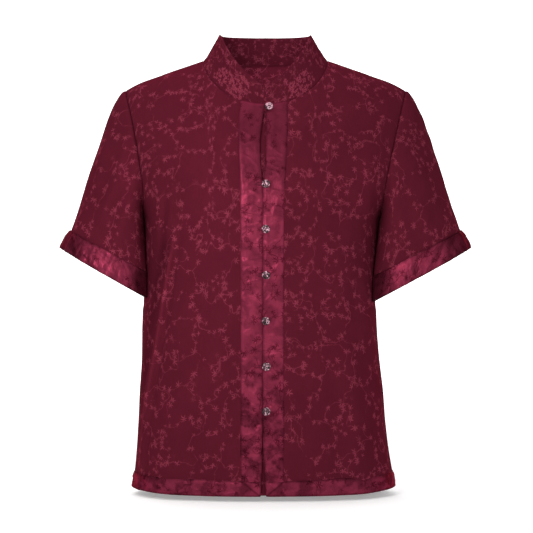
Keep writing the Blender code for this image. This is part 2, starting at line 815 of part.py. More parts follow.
def on_band(fastening):
    """The place on a front band's outer face, and the direction straight out of it."""
    step = 0.002
    x, height = fastening.x, fastening.height
    across = body_point(FRONT, x + step, height) - body_point(FRONT, x - step, height)
    along = body_point(FRONT, x, height + step) - body_point(FRONT, x, height - step)
    out = across.cross(along).normalized()
    if out.y > 0:
        out = -out
    return body_point(FRONT, x, height) + out * (SEAM_GAP + BAND_CLOTH), out


def make_fastenings():
    buttons, loops = button_mesh(), loop_curve()
    for number, fastening in enumerate(FASTENINGS, start=1):
        place, out = on_band(fastening)
        for name, data in (("button", buttons), ("loop", loops)):
            thing = bpy.data.objects.new(f"{name}_{number}", data)
            thing.location = place
            thing.rotation_mode = "QUATERNION"
            thing.rotation_quaternion = out.to_track_quat("Z", "Y")
            bpy.context.scene.collection.objects.link(thing)


def main():
    clear_scene()
    fronts = {RIGHT: make_front(RIGHT, "right"), LEFT: make_front(LEFT, "left")}
    back = make_back()
    make_collar(fronts, back)
    make_sleeve(RIGHT, "right", fronts[RIGHT], back)
    make_sleeve(LEFT, "left", fronts[LEFT], back)
    make_underlap()
    make_fastenings()


main()
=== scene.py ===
# %% [markdown]
# # A short-sleeved shirt of figured satin
# The shirt is filled out as if somebody wore it, but it is empty, as clothes are often shown for sale.
# A packed CAD model already gives its true size and form. This notebook dresses that model:
# it builds every cloth piece again on the same form, finer, with soft folds, and gives it a woven finish.

# %% Blender and the packed model
import math
from collections import namedtuple
from functools import partial, partialmethod

import bmesh
import bpy
import numpy as np
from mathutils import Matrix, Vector


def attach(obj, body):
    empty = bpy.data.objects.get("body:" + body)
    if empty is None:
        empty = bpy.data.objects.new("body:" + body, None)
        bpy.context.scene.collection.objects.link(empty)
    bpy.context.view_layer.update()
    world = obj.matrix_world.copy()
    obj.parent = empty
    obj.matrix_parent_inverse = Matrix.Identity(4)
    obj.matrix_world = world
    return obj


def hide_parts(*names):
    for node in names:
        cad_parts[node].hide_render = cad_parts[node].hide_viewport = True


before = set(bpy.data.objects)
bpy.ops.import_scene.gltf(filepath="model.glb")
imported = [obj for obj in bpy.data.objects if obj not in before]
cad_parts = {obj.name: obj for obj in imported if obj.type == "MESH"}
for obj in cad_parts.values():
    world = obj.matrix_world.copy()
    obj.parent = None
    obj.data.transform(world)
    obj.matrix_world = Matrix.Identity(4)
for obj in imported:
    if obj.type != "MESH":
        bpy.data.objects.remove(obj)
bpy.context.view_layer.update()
print("Nodes in the CAD model:", len(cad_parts))

FRONT, BACK = -1, 1
RIGHT, LEFT = -1, 1
SIDE_NAMES = {RIGHT: "right", LEFT: "left"}

# %% [markdown]
# ## Camera and light
# The picture was taken straight from the front, from far away, so there is little perspective.
# A long lens three metres off does the same. The light is soft and comes mostly from the upper left:
# one lamp there, a wide weak one on the right, a large one above that lights the shoulders, and a tiny one
# inside the neck.

# %% The camera
VIEW_DISTANCE = 3.0
VIEW_WIDTH = 0.7995
VIEW_MIDDLE = (0.0015, -0.308)
SENSOR = 36.0

camera_data = bpy.data.cameras.new("camera")
camera_data.sensor_width = SENSOR
camera_data.lens = SENSOR * VIEW_DISTANCE / VIEW_WIDTH
camera = bpy.data.objects.new("camera", camera_data)
camera.location = (VIEW_MIDDLE[0], -VIEW_DISTANCE, VIEW_MIDDLE[1])
camera.rotation_euler = (math.radians(90), 0, 0)
bpy.context.scene.collection.objects.link(camera)
bpy.context.scene.camera = camera
bpy.context.scene.view_settings.view_transform = "Standard"
print("Lens in millimetres:", round(camera_data.lens, 1))


# %% The lamps and the pale studio
def add_lamp(name, place, target, size, power, colour=(1, 1, 1), spread=180):
    """A square soft lamp that shines from a place towards a target, within a spread in degrees."""
    data = bpy.data.lights.new(name, "AREA")
    data.size = size
    data.energy = power
    data.color = colour
    data.spread = math.radians(spread)
    lamp = bpy.data.objects.new(name, data)
    lamp.location = place
    lamp.rotation_mode = "QUATERNION"
    lamp.rotation_quaternion = (Vector(target) - Vector(place)).to_track_quat("-Z", "Y")
    bpy.context.scene.collection.objects.link(lamp)


add_lamp("key_lamp", (-0.55, -1.35, 0.20), (-0.04, 0, -0.22), 0.6, 1.8, (1.0, 0.985, 0.97), 66)
add_lamp("fill_lamp", (1.7, -2.1, 0.1), (0.05, 0, -0.20), 1.5, 8, (0.97, 0.98, 1.0))
add_lamp("top_lamp", (-0.3, 0.2, 1.9), (0, 0, -0.1), 2.4, 36)
add_lamp("neck_lamp", (0.0, -0.02, -0.17), (0.0, 0.1, -0.02), 0.08, 0.16)

world = bpy.data.worlds.new("studio")
bpy.context.scene.world = world
world.use_nodes = True
background = world.node_tree.nodes["Background"].inputs
background["Color"].default_value, background["Strength"].default_value = (1, 1, 1, 1), 0.36
print("Lamps:", [light.name for light in bpy.data.lights])

# %% [markdown]
# ## The form of the shirt
# Tables give the outline of the body, the armhole, the bands, the sleeve's rings and the collar's edge.
# The same tables made the CAD solids, so every piece made here lies where its solid is.
# A smooth curve through each table turns a few numbers into a soft shape.
# Everything is worked out on whole arrays of points at once, which is quick even for fine cloth.


# %% Smooth curves through a table
def hermite(start, start_pull, end, end_pull, t):
    """A point on a smooth curve with a given start, end and pull at each."""
    return (
        start * (2 * t**3 - 3 * t**2 + 1)
        + start_pull * (t**3 - 2 * t**2 + t)
        + end * (3 * t**2 - 2 * t**3)
        + end_pull * (t**3 - t**2)
    )


def curve_through(along, values):
    """A function that runs smoothly through a table's rows."""
    order = np.argsort(along)
    along, values = np.asarray(along, float)[order], np.asarray(values, float)[order]
    after, before = np.minimum(np.arange(len(along)) + 1, len(along) - 1), np.maximum(np.arange(len(along)) - 1, 0)
    slopes = (values[after] - values[before]) / (along[after] - along[before])

    def value(at):
        at = np.clip(at, along[0], along[-1])
        i = np.clip(np.searchsorted(along, at, side="right") - 1, 0, len(along) - 2)
        width = along[i + 1] - along[i]
        t = (at - along[i]) / width
        return hermite(values[i], slopes[i] * width, values[i + 1], slopes[i + 1] * width, t)

    return value


def smooth(share):
    """A soft step from 0 to 1."""
    share = np.clip(share, 0.0, 1.0)
    return share * share * (3 - 2 * share)


print("A quarter of the way along a soft step:", smooth(0.25))


# %% The tables of the body
CLOTH = 0.0012
BAND_CLOTH = 0.0010
COLLAR_CLOTH = 0.0024
EDGE_ROLL = 0.42
SEAM_GAP = 0.0003
EDGE_GAP = 0.00035
COLLAR_GAP = 0.0005

HEM_HEIGHT = -0.640
HEM_BAND = 0.0215
HEM_SIDE_RISE = {RIGHT: 0.0030, LEFT: 0.0050}
NECK_HALF = 0.0937
FRONT_NECK_DROP = 0.0705
SHOULDER_HALF = 0.2095
SHOULDER_ROLL = 0.146
NECK_RISE = {FRONT: 0.010, BACK: 0.030}
UNDERARM_HEIGHT = -0.237
SIDE_POWER = 2.5

# Height, half width, depth in front, depth behind, shift to the side
BODY_TABLE = np.array(
    [
        (-0.640, 0.1955, 0.112, 0.114, -0.0030),
        (-0.619, 0.1928, 0.112, 0.112, -0.0030),
        (-0.583, 0.1880, 0.111, 0.109, -0.0041),
        (-0.538, 0.1838, 0.111, 0.106, -0.0054),
        (-0.493, 0.1812, 0.111, 0.104, -0.0062),
        (-0.448, 0.1772, 0.112, 0.102, -0.0073),
        (-0.403, 0.1750, 0.113, 0.101, -0.0088),
        (-0.349, 0.1735, 0.115, 0.103, -0.0088),
        (-0.290, 0.1742, 0.117, 0.108, -0.0075),
        (-0.237, 0.1765, 0.117, 0.112, -0.0055),
        (-0.225, 0.1812, 0.116, 0.113, -0.0046),
        (-0.198, 0.1940, 0.114, 0.115, -0.0025),
        (-0.159, 0.2082, 0.108, 0.117, -0.0012),
        (-0.102, 0.2160, 0.095, 0.115, 0.0),
        (-0.058, 0.2180, 0.086, 0.111, 0.0),
        (-0.020, 0.2180, 0.082, 0.109, 0.0),
        (0.045, 0.2180, 0.078, 0.107, 0.0),
    ]
)
half_width_at = curve_through(BODY_TABLE[:, 0], BODY_TABLE[:, 1])
depth_at = {
    FRONT: curve_through(BODY_TABLE[:, 0], BODY_TABLE[:, 2]),
    BACK: curve_through(BODY_TABLE[:, 0], BODY_TABLE[:, 3]),
}
shift_at = curve_through(BODY_TABLE[:, 0], BODY_TABLE[:, 4])

armhole_at = curve_through(
    [-0.237, -0.225, -0.198, -0.159, -0.102, -0.058, -0.0448],
    [0.1765, 0.1767, 0.1780, 0.1835, 0.1955, 0.2062, 0.2095],
)

# Height, then the outer and inner edge of the wearer's right band, then of the left one
BAND_TABLE = np.array(
    [
        (-0.640, -0.0345, -0.0074, 0.0014, 0.0272),
        (-0.600, -0.0350, -0.0058, -0.0014, 0.0268),
        (-0.560, -0.0352, -0.0048, -0.0034, 0.0266),
        (-0.517, -0.0355, -0.0043, -0.0036, 0.0264),
        (-0.452, -0.0358, -0.0043, -0.0036, 0.0262),
        (-0.320, -0.0364, -0.0043, -0.0036, 0.0262),
        (-0.189, -0.0372, -0.0045, -0.0034, 0.0285),
        (-0.160, -0.0388, -0.0070, -0.0004, 0.0305),
        (-0.126, -0.0396, -0.0080, 0.0010, 0.0320),
        (-0.097, -0.0388, -0.0050, 0.0012, 0.0325),
        (-0.0705, -0.0370, -0.0004, 0.0012, 0.0325),
    ]
)
band_edge_at = {
    RIGHT: curve_through(BAND_TABLE[:, 0], BAND_TABLE[:, 2]),
    LEFT: curve_through(BAND_TABLE[:, 0], BAND_TABLE[:, 3]),
}
band_outer_at = {
    RIGHT: curve_through(BAND_TABLE[:, 0], BAND_TABLE[:, 1]),
    LEFT: curve_through(BAND_TABLE[:, 0], BAND_TABLE[:, 4]),
}
print("Rows in the body's table:", len(BODY_TABLE), "and in the bands' table:", len(BAND_TABLE))

# %% The big soft folds that the solids have too
BigFold = namedtuple("BigFold", "facing hem_x top_x top depth width")
BIG_FOLDS = [
    BigFold(FRONT, -0.145, -0.116, -0.290, 0.0024, 0.022),
    BigFold(FRONT, -0.095, -0.103, -0.407, -0.0018, 0.020),
    BigFold(FRONT, 0.139, 0.114, -0.271, 0.0022, 0.021),
    BigFold(FRONT, 0.089, 0.079, -0.436, -0.0016, 0.022),
    BigFold(BACK, -0.126, -0.093, -0.203, 0.0032, 0.024),
    BigFold(BACK, -0.056, -0.039, -0.320, -0.0028, 0.026),
    BigFold(BACK, 0.019, 0.012, -0.252, 0.0026, 0.024),
    BigFold(BACK, 0.087, 0.064, -0.349, -0.0026, 0.024),
    BigFold(BACK, 0.137, 0.112, -0.213, 0.0030, 0.023),
]


def big_fold_depth(facing, x, height):
    """How far the big folds move the cloth out."""
    total = np.zeros(np.shape(x))
    for fold in BIG_FOLDS:
        if fold.facing != facing:
            continue
        down = (fold.top - height) / (fold.top - HEM_HEIGHT)
        middle = fold.top_x + (fold.hem_x - fold.top_x) * down
        across = (x - middle) / fold.width
        swell = np.sin(np.clip(down * 1.6, 0, 1) * math.pi / 2)
        total = total + fold.depth * swell * np.exp(-(across**2))
    return total


print("Big folds:", len(BIG_FOLDS), "of them behind:", sum(fold.facing == BACK for fold in BIG_FOLDS))



# %% The outer face of the body, from a place seen from the front
def shoulder_height(x):
    """The shoulder seam: a straight slope that bends down near its end."""
    bend = np.maximum(np.abs(x) - 0.178, 0.0)
    return -0.345 * (np.abs(x) - NECK_HALF) - 4.8 * bend**2


def roll_height(facing, x):
    """The height from which the cloth turns over towards the shoulder and the neck."""
    inside = NECK_RISE[facing] * (1.0 - (x / NECK_HALF) ** 2)
    return np.where(np.abs(x) >= NECK_HALF, shoulder_height(x), inside)


def top_height(facing, x):
    """The upper edge of a panel: the collar seam, then the shoulder seam."""
    if facing == BACK:
        neck = np.zeros(np.shape(x))
    else:
        share = np.minimum(np.abs(x) / NECK_HALF, 1.0) ** 2.2
        neck = -FRONT_NECK_DROP * (1.0 - share) ** 0.63
    return np.where(np.abs(x) < NECK_HALF - 1e-9, neck, shoulder_height(x))


def body_point(facing, x, height):
    """A point of the outer face, from how far across and how high it is."""
    x, height = np.broadcast_arrays(x, height)
    across = np.minimum(np.abs(x - shift_at(height)) / half_width_at(height), 1.0)
    rounded = np.sqrt(1.0 - across**SIDE_POWER)
    drop = np.clip((roll_height(facing, x) - height) / SHOULDER_ROLL, 0.0, 1.0)
    rolled = (1.0 - (1.0 - drop) ** 2) ** 0.62
    depth = depth_at[facing](height) + big_fold_depth(facing, x, height)
    return np.stack([x, facing * (SEAM_GAP / 2 + depth * rolled * rounded), height], axis=-1)


def edge_reach(height):
    """How far out a panel goes: to the armhole, and below the underarm to the side."""
    return np.where(height > UNDERARM_HEIGHT, armhole_at(height), half_width_at(height))


def hem_height(x):
    """The lower edge, which rises a little towards the sides."""
    rise = np.where(x > 0, HEM_SIDE_RISE[LEFT], HEM_SIDE_RISE[RIGHT])
    return HEM_HEIGHT + rise * (np.abs(x) / half_width_at(HEM_HEIGHT)) ** 6


print("How far the chest stands out:", body_point(FRONT, 0.0, -0.3).round(4))


# %% Where a panel's rows and columns run
SHOULDER_TIP = float(shoulder_height(SHOULDER_HALF))
BAND_TOP = HEM_HEIGHT + HEM_BAND
HEM_SHARE = (SHOULDER_TIP - BAND_TOP) / (SHOULDER_TIP - HEM_HEIGHT)
UNDERARM_SHARE = (SHOULDER_TIP - UNDERARM_HEIGHT) / (SHOULDER_TIP - HEM_HEIGHT)


def panel_shares(armhole_rows, body_rows, hem_rows):
    """How far down each row is, from the shoulder at 0 to the hem at 1."""
    even = np.arange(armhole_rows) / armhole_rows
    eased = (1 - np.cos(math.pi * even)) / 2
    upper = UNDERARM_SHARE * (even + (eased - even) * 0.6)
    middle = UNDERARM_SHARE + (HEM_SHARE - UNDERARM_SHARE) * (np.arange(body_rows) / body_rows) ** 1.25
    lower = HEM_SHARE + (1 - HEM_SHARE) * np.arange(hem_rows + 1) / hem_rows
    return np.concatenate([upper, middle, lower])


def even_places(*counts):
    """Places from 0 to 1, from 1 to 2 and so on, in so many even steps each, with the very end."""
    parts = [part + np.arange(count) / count for part, count in enumerate(counts)]
    return np.concatenate([*parts, [float(len(counts))]])


def mirrored(places):
    return np.concatenate([-places[:0:-1], places])


def closing(place):
    """Even steps from 0 to 1 that come closer together towards 1."""
    return np.sin(math.pi / 2 * np.clip(place, 0.0, 1.0))


def front_x(side, share, place):
    """Place 0 to 1 crosses the band, 1 to 2 goes on to the neck point's column, 2 to 3 to the outer edge."""
    height = SHOULDER_TIP + (HEM_HEIGHT - SHOULDER_TIP) * share
    middle_height = -FRONT_NECK_DROP + (HEM_HEIGHT + FRONT_NECK_DROP) * share
    edge, outer = band_edge_at[side](middle_height), band_outer_at[side](middle_height)
    neck_edge = abs(float(band_outer_at[side](-FRONT_NECK_DROP)))
    neck_share = (NECK_HALF - neck_edge) / (SHOULDER_HALF - neck_edge)
    reach = shift_at(height) + side * edge_reach(height)
    toward = np.where(
        place <= 2, neck_share * closing(place - 1), neck_share + (1 - neck_share) * closing(place - 2)
    )
    return edge + (outer - edge) * np.clip(place, 0, 1) + (reach - outer) * toward


def back_x(share, place):
    """Place 0 is the middle, 1 the neck point's column and 2 the outer edge, negative on the right."""
    height = SHOULDER_TIP + (HEM_HEIGHT - SHOULDER_TIP) * share
    neck_share = NECK_HALF / SHOULDER_HALF
    out = np.abs(place)
    toward = np.where(out <= 1, neck_share * closing(out), neck_share + (1 - neck_share) * closing(out - 1))
    return shift_at(height) + np.sign(place) * edge_reach(height) * toward


def panel_points(facing, x_at, shares, places):
    """A grid of points: a row for each share of the way down, a column for each place across."""
    share, place = np.meshgrid(shares, places, indexing="ij")
    top_x, hem_x = x_at(0.0 * share, place), x_at(0.0 * share + 1.0, place)
    top = top_height(facing, top_x)
    height = top + (hem_height(hem_x) - top) * share
    return body_point(facing, x_at(share, place), height)


print("Share of a panel's length above its hem band:", round(HEM_SHARE, 3))

# %% [markdown]
# ## Cloth as a grid
# A piece of cloth is a grid of points with a direction out of the cloth at each.
# It also carries its own flat coordinates in metres, so a woven pattern follows the cloth and keeps its size.
# The piece becomes a thin closed wall: an outer face, an inner face and a rounded edge between them.


# %% Normals and lengths on a grid
def unit(vectors):
    return vectors / np.maximum(np.linalg.norm(vectors, axis=-1, keepdims=True), 1e-12)


def neighbours(grid, around):
    """The grid's points above, below, before and after each point."""
    up, down = np.concatenate([grid[:1], grid[:-1]]), np.concatenate([grid[1:], grid[-1:]])
    if around:
        return up, down, np.roll(grid, 1, axis=1), np.roll(grid, -1, axis=1)
    first, last = grid[:, :1], grid[:, -1:]
    return up, down, np.concatenate([first, grid[:, :-1]], axis=1), np.concatenate([grid[:, 1:], last], axis=1)


def grid_normals(grid, around=False, away_from=None):
    """Unit normals of a grid, turned away from a middle line of points."""
    up, down, before, after = neighbours(grid, around)
    normals = unit(np.cross(after - before, up - down))
    if away_from is None:
        away_from = np.stack([0 * grid[..., 0], 0 * grid[..., 1], grid[..., 2] - np.abs(grid[..., 0]) * 0.3], axis=-1)
    if np.sum(normals * unit(grid - away_from)) < 0:
        normals = -normals
    return normals


def run_lengths(grid, axis):
    """The length of cloth from the first line of the grid to each line."""
    steps = np.linalg.norm(np.diff(grid, axis=axis), axis=-1)
    lengths = np.cumsum(steps, axis=axis)
    start = np.zeros_like(np.take(lengths, [0], axis=axis))
    return np.concatenate([start, lengths], axis=axis)


def closed_columns(grid):
    return np.concatenate([grid, grid[:, :1]], axis=1)


def flat_of(points, around, turned, start, middle=0):
    """Flat coordinates in metres: along the rows from one column, and up from the last row."""
    whole = closed_columns(points) if around else points
    along = run_lengths(whole, 1)
    along = along - along[:, middle : middle + 1]
    down = run_lengths(whole, 0)
    return np.stack([start[0] + turned * along, start[1] + down[-1:] - down], axis=-1)


print("Lengths along a bent line:", run_lengths(np.array([[(0, 0, 0), (3, 0, 0), (3, 4, 0)]]), 1)[0])



# %% A wall between two faces
def quads_of(index):
    """The four corners of each square of a grid of point numbers."""
    return np.stack([index[:-1, :-1], index[:-1, 1:], index[1:, 1:], index[1:, :-1]], axis=-1).reshape(-1, 4)


def flat_quads(flat):
    """The flat coordinates of the four corners of each square."""
    corners = [flat[:-1, :-1], flat[:-1, 1:], flat[1:, 1:], flat[1:, :-1]]
    return np.stack(corners, axis=-2).reshape(-1, 4, 2)


made = {}
SMOOTH_CLOTH, CRUSHED_CLOTH = 62, 38


def cloth_wall(
    node, points, normals, flat, finishes,
    thickness=CLOTH, out=0.0, around=False, rounded=(), painted=None, crisp=SMOOTH_CLOTH,
):
    """One closed piece of cloth. rounded names the edges that fold over, of top, bottom, first and last."""
    rows, columns = points.shape[:2]
    thickness = np.broadcast_to(thickness, (rows, columns))[..., None]
    outer = points + normals * out
    inner = outer - normals * thickness
    outer_index = np.arange(rows * columns).reshape(rows, columns)
    if around:
        outer_index = closed_columns(outer_index)
    inner_index = outer_index + rows * columns
    places, faces, face_flats, face_finish = [outer.reshape(-1, 3), inner.reshape(-1, 3)], [], [], []

    def add(index, flats, finish):
        faces.append(quads_of(index))
        face_flats.append(flat_quads(flats))
        face_finish.append(np.full(len(faces[-1]), finish))

    add(outer_index, flat, 0)
    add(inner_index, flat, 1)
    edges = {"top": (0, 1, 0), "bottom": (-1, -2, 0), "first": (0, 1, 1), "last": (-1, -2, 1)}
    rims, rim_lines = {}, []
    for edge in ("top", "bottom") if around else edges:
        line, neighbour, axis = edges[edge]
        take = partial(np.take, axis=axis)
        lead = unit(take(points, line) - take(points, neighbour))
        bulge = take(thickness, line) * (EDGE_ROLL if edge in rounded else 0.0)
        middle = (take(outer, line) + take(inner, line)) / 2 + lead * bulge
        index = sum(map(len, places)) + np.arange(len(middle))
        places.append(middle)
        rims[edge] = np.concatenate([index, index[:1]]) if around else index
        rim_lines.append((line, axis))
        edge_flat = np.stack([take(flat, line)] * 2)
        add(np.stack([take(outer_index, line), rims[edge]]), edge_flat, 0)
        add(np.stack([rims[edge], take(inner_index, line)]), edge_flat, 1)
    if not around:
        for row_edge, r in (("top", 0), ("bottom", -1)):
            for column_edge, c in (("first", 0), ("last", -1)):
                corner = (outer_index[r, c], rims[row_edge][c], inner_index[r, c], rims[column_edge][r])
                faces.append(np.array([corner]))
                face_flats.append(np.broadcast_to(flat[r, c], (1, 4, 2)))
                face_finish.append(np.array([0]))
    data = bpy.data.meshes.new(f"{node}_cloth")
    data.from_pydata(np.concatenate(places), [], np.concatenate(faces).tolist())
    layer = data.uv_layers.new(name="cloth")
    layer.uv.foreach_set("vector", np.concatenate(face_flats).astype(np.float32).ravel())
    data.polygons.foreach_set("material_index", np.concatenate(face_finish).astype(np.int32))
    for label, values in {"shade": 1.0, **(painted or {})}.items():
        values = np.broadcast_to(values, (rows, columns))
        edge_values = [values.take(line, axis) for line, axis in rim_lines]
        filled = np.concatenate([values.ravel(), values.ravel(), *edge_values]).astype(np.float32)
        data.attributes.new(label, "FLOAT", "POINT").data.foreach_set("value", filled)
    made[node] = as_piece(data, finishes, crisp)


def as_piece(data, finishes, crisp=SMOOTH_CLOTH):
    """A mesh with outward faces, smooth but for edges sharper than an angle, as an object at the origin."""
    mesh = bmesh.new()
    mesh.from_mesh(data)
    bmesh.ops.recalc_face_normals(mesh, faces=mesh.faces)
    mesh.to_mesh(data)
    mesh.free()
    data.shade_smooth()
    data.set_sharp_from_angle(angle=math.radians(crisp))
    for finish in finishes:
        data.materials.append(finish)
    thing = bpy.data.objects.new(data.name, data)
    bpy.context.scene.collection.objects.link(thing)
    area = sum(polygon.area for polygon in data.polygons) / 2
    print(f"{data.name}: {len(data.polygons)} faces, half its area is {area:.4f} square metres")
    return thing


print("Angle past which an edge of cloth looks sharp, in degrees:", SMOOTH_CLOTH)


# %% [markdown]
# ## Finishes
# The cloth is a jacquard satin. Its outer side is a quiet matt ground with a shiny figure:
# thin vines that wander in loops, with small spiky sprigs along them.
# The bands, the cuffs and the hem are cut from the other side of the same cloth,
# so there the ground shines and the figure is dull.
# The figure is drawn by the shader, so it is sharp at any size and no picture is needed.
# Cell textures place the vines and sprigs, and a little noise bends them.


# %% Shader sums as Python expressions
class Wire:
    """A socket that can stand in a Python sum: numbers use Math nodes, vectors use Vector Math."""

    def __init__(self, nodes, socket):
        self.nodes, self.socket = nodes, socket

    def combine(self, operation, other=0.0, other_first=False):
        """A Math or Vector Math node of this wire and another wire or number."""
        pair = (other, self) if other_first else (self, other)
        if any(value.socket.type in ("VECTOR", "RGBA") for value in pair if isinstance(value, Wire)):
            kind = "ShaderNodeVectorMath"
            pair = [(value, value, value) if isinstance(value, (int, float)) else value for value in pair]
        else:
            kind = "ShaderNodeMath"
        return self.nodes.node(kind, {"operation": operation}, dict(enumerate(pair)))

    __add__ = partialmethod(combine, "ADD")
    __radd__ = partialmethod(combine, "ADD", other_first=True)
    __sub__ = partialmethod(combine, "SUBTRACT")
    __rsub__ = partialmethod(combine, "SUBTRACT", other_first=True)
    __mul__ = partialmethod(combine, "MULTIPLY")
    __rmul__ = partialmethod(combine, "MULTIPLY", other_first=True)
    __truediv__ = partialmethod(combine, "DIVIDE")
    __pow__ = partialmethod(combine, "POWER")
    __abs__ = partialmethod(combine, "ABSOLUTE")
    most = partialmethod(combine, "MAXIMUM")
    cosine = partialmethod(combine, "COSINE")

    def also(self, output):
        """Another output of the same node."""
        return Wire(self.nodes, self.socket.node.outputs[output])


class Nodes:
    """A tree whose nodes are added one call at a time."""

    def __init__(self, tree):
        self.tree = tree

    def node(self, kind, settings=None, inputs=None, output=0):
        """Adds a node: its type, its settings, and the values or wires of its sockets."""
        node = self.tree.nodes.new(kind)
        for key, value in (settings or {}).items():
            setattr(node, key, value)
        for key, value in (inputs or {}).items():
            if isinstance(value, Wire):
                self.tree.links.new(value.socket, node.inputs[key])
            else:
                node.inputs[key].default_value = value
        return Wire(self, node.outputs[output])


class Finish(Nodes):
    """The nodes of a new material."""

    def __init__(self, name):
        self.material = bpy.data.materials.new(name)
        self.material.use_nodes = True
        super().__init__(self.material.node_tree)
        self.tree.nodes.clear()

    def painted(self, label):
        """The numbers that a mesh carries at its points under a name."""
        return self.node("ShaderNodeAttribute", {"attribute_name": label}, output="Fac")

    def bump(self, height, strength=1.0, distance=1.0):
        return self.node("ShaderNodeBump", None, {"Height": height, "Strength": strength, "Distance": distance})

    def step(self, value, low, high):
        """A soft step from 0 to 1 as the value goes from low to high."""
        settings = {"interpolation_type": "SMOOTHSTEP", "clamp": True}
        return self.node("ShaderNodeMapRange", settings, {"Value": value, "From Min": low, "From Max": high})

    def mix(self, first, second, factor):
        """One colour changed into another."""
        first, second = ((*c, 1.0) if isinstance(c, tuple) and len(c) == 3 else c for c in (first, second))
        return self.node("ShaderNodeMix", {"data_type": "RGBA"}, {0: factor, 6: first, 7: second}, output=2)

    def noise(self, place, size, detail=2.0, output=0):
        """Soft noise, 0 to 1, whose lumps have about that size in metres."""
        settings, inputs = {"noise_dimensions": "2D"}, {"Vector": place, "Scale": 1 / size, "Detail": detail}
        return self.node("ShaderNodeTexNoise", settings, inputs, output)

    def cells(self, place, spacing, feature, output, uneven=0.85):
        """A cell texture whose cells are about that wide in metres."""
        settings = {"voronoi_dimensions": "2D", "feature": feature}
        inputs = {"Vector": place, "Scale": 1 / spacing, "Randomness": uneven}
        return self.node("ShaderNodeTexVoronoi", settings, inputs, output)

    def end(self, shader_inputs):
        """The material, once its shader is joined to its output."""
        shader = self.node("ShaderNodeBsdfPrincipled", None, shader_inputs)
        output = self.tree.nodes.new("ShaderNodeOutputMaterial")
        self.tree.links.new(shader.socket, output.inputs["Surface"])
        return self.material


print("A finish can add:", [name for name in vars(Finish) if not name.startswith("_")])

# %% The woven figure
VINE_SPACING = 0.050
RING_SPACING = 0.082
RING_RADIUS = 0.019
SPRIG_SPACING = 0.0165
SPRIG_REACH = 0.0063
TUFT_SPACING = 0.0122
TUFT_REACH = 0.0048
BUD_SPACING = 0.0058
BUD_REACH = 0.0019
FULL_TURN = 6.283


def bent(finish, place, size, reach):
    """The place moved about smoothly, so that straight lines wander."""
    lumps = finish.noise(place, size, 1.0, output=1)
    return place + (lumps - 0.5) * reach


def vine_distance(finish, place):
    """How far a place is from the nearest vine, in metres."""
    moved = bent(finish, place, 0.030, 0.036)
    walls = finish.cells(moved, VINE_SPACING, "DISTANCE_TO_EDGE", "Distance") * VINE_SPACING
    rings = finish.cells(moved + 0.31, RING_SPACING, "F1", "Distance", 0.6) * RING_SPACING
    return walls.combine("MINIMUM", abs(rings - RING_RADIUS))


def sprigs(finish, place, spacing, reach, leaves, thinness, near_vine=None, shift=0.0):
    """Small stars of pointed leaves, one to a cell, kept to the cells that lie near a vine."""
    own = place + (shift, shift, 0.0)
    middle = finish.cells(own, spacing, "F1", "Position")
    away = own - middle
    chance = middle.also("Color")
    split = finish.node("ShaderNodeSeparateColor", None, {"Color": chance})
    across = finish.node("ShaderNodeSeparateXYZ", None, {"Vector": away})
    turn = across.also("Y").combine("ARCTAN2", across) + split * FULL_TURN
    lobe = abs((turn * (leaves / 2)).cosine()) ** thinness
    uneven = (turn + split.also("Blue") * 6.0).cosine() * 0.26 + 0.86
    length = finish.node("ShaderNodeVectorMath", {"operation": "LENGTH"}, {0: away}, output="Value")
    reaches = (lobe * 0.84 + 0.16) * uneven * ((split.also("Green") * 0.55 + 0.62) * reach)
    star = 1.0 - finish.step(length / reaches, 0.62, 1.15)
    if near_vine is not None:
        beside = vine_distance(finish, middle - (shift, shift, 0.0))
        star = star * (1.0 - finish.step(beside, near_vine * 0.85, near_vine * 1.15))
    return star


def woven_figure(finish, place):
    """The whole figure, 1 on vines and sprigs and 0 on the ground."""
    place = bent(finish, place, 0.0045, 0.0026)
    vines = vine_distance(finish, place)
    gaps = finish.step(finish.noise(place + 0.7, 0.032, 1.0), 0.40, 0.52)
    lines = (1.0 - finish.step(vines, 0.0002, 0.0009)) * gaps * 0.60
    large = sprigs(finish, place, SPRIG_SPACING, SPRIG_REACH, 7, 3.6, near_vine=0.0062)
    tufts = sprigs(finish, place, TUFT_SPACING, TUFT_REACH, 5, 3.2, near_vine=0.0042, shift=0.27)
    small = sprigs(finish, place, BUD_SPACING, BUD_REACH, 3, 2.2, near_vine=0.0022, shift=0.13)
    return lines.most(large).most(tufts * 0.95).most(small * 0.45)


print("Metres from sprig to sprig, tuft to tuft and bud to bud:", SPRIG_SPACING, TUFT_SPACING, BUD_SPACING)



# %% Satin cloth in its two faces
FIGURE_TINT = (0.60, 0.10, 0.17, 1.0)
EDGE_TINT = (0.72, 0.22, 0.30, 1.0)
PETAL_SPACING = 0.0070
PETAL_SHIFT = 0.41
THREAD_PITCH = 0.00055


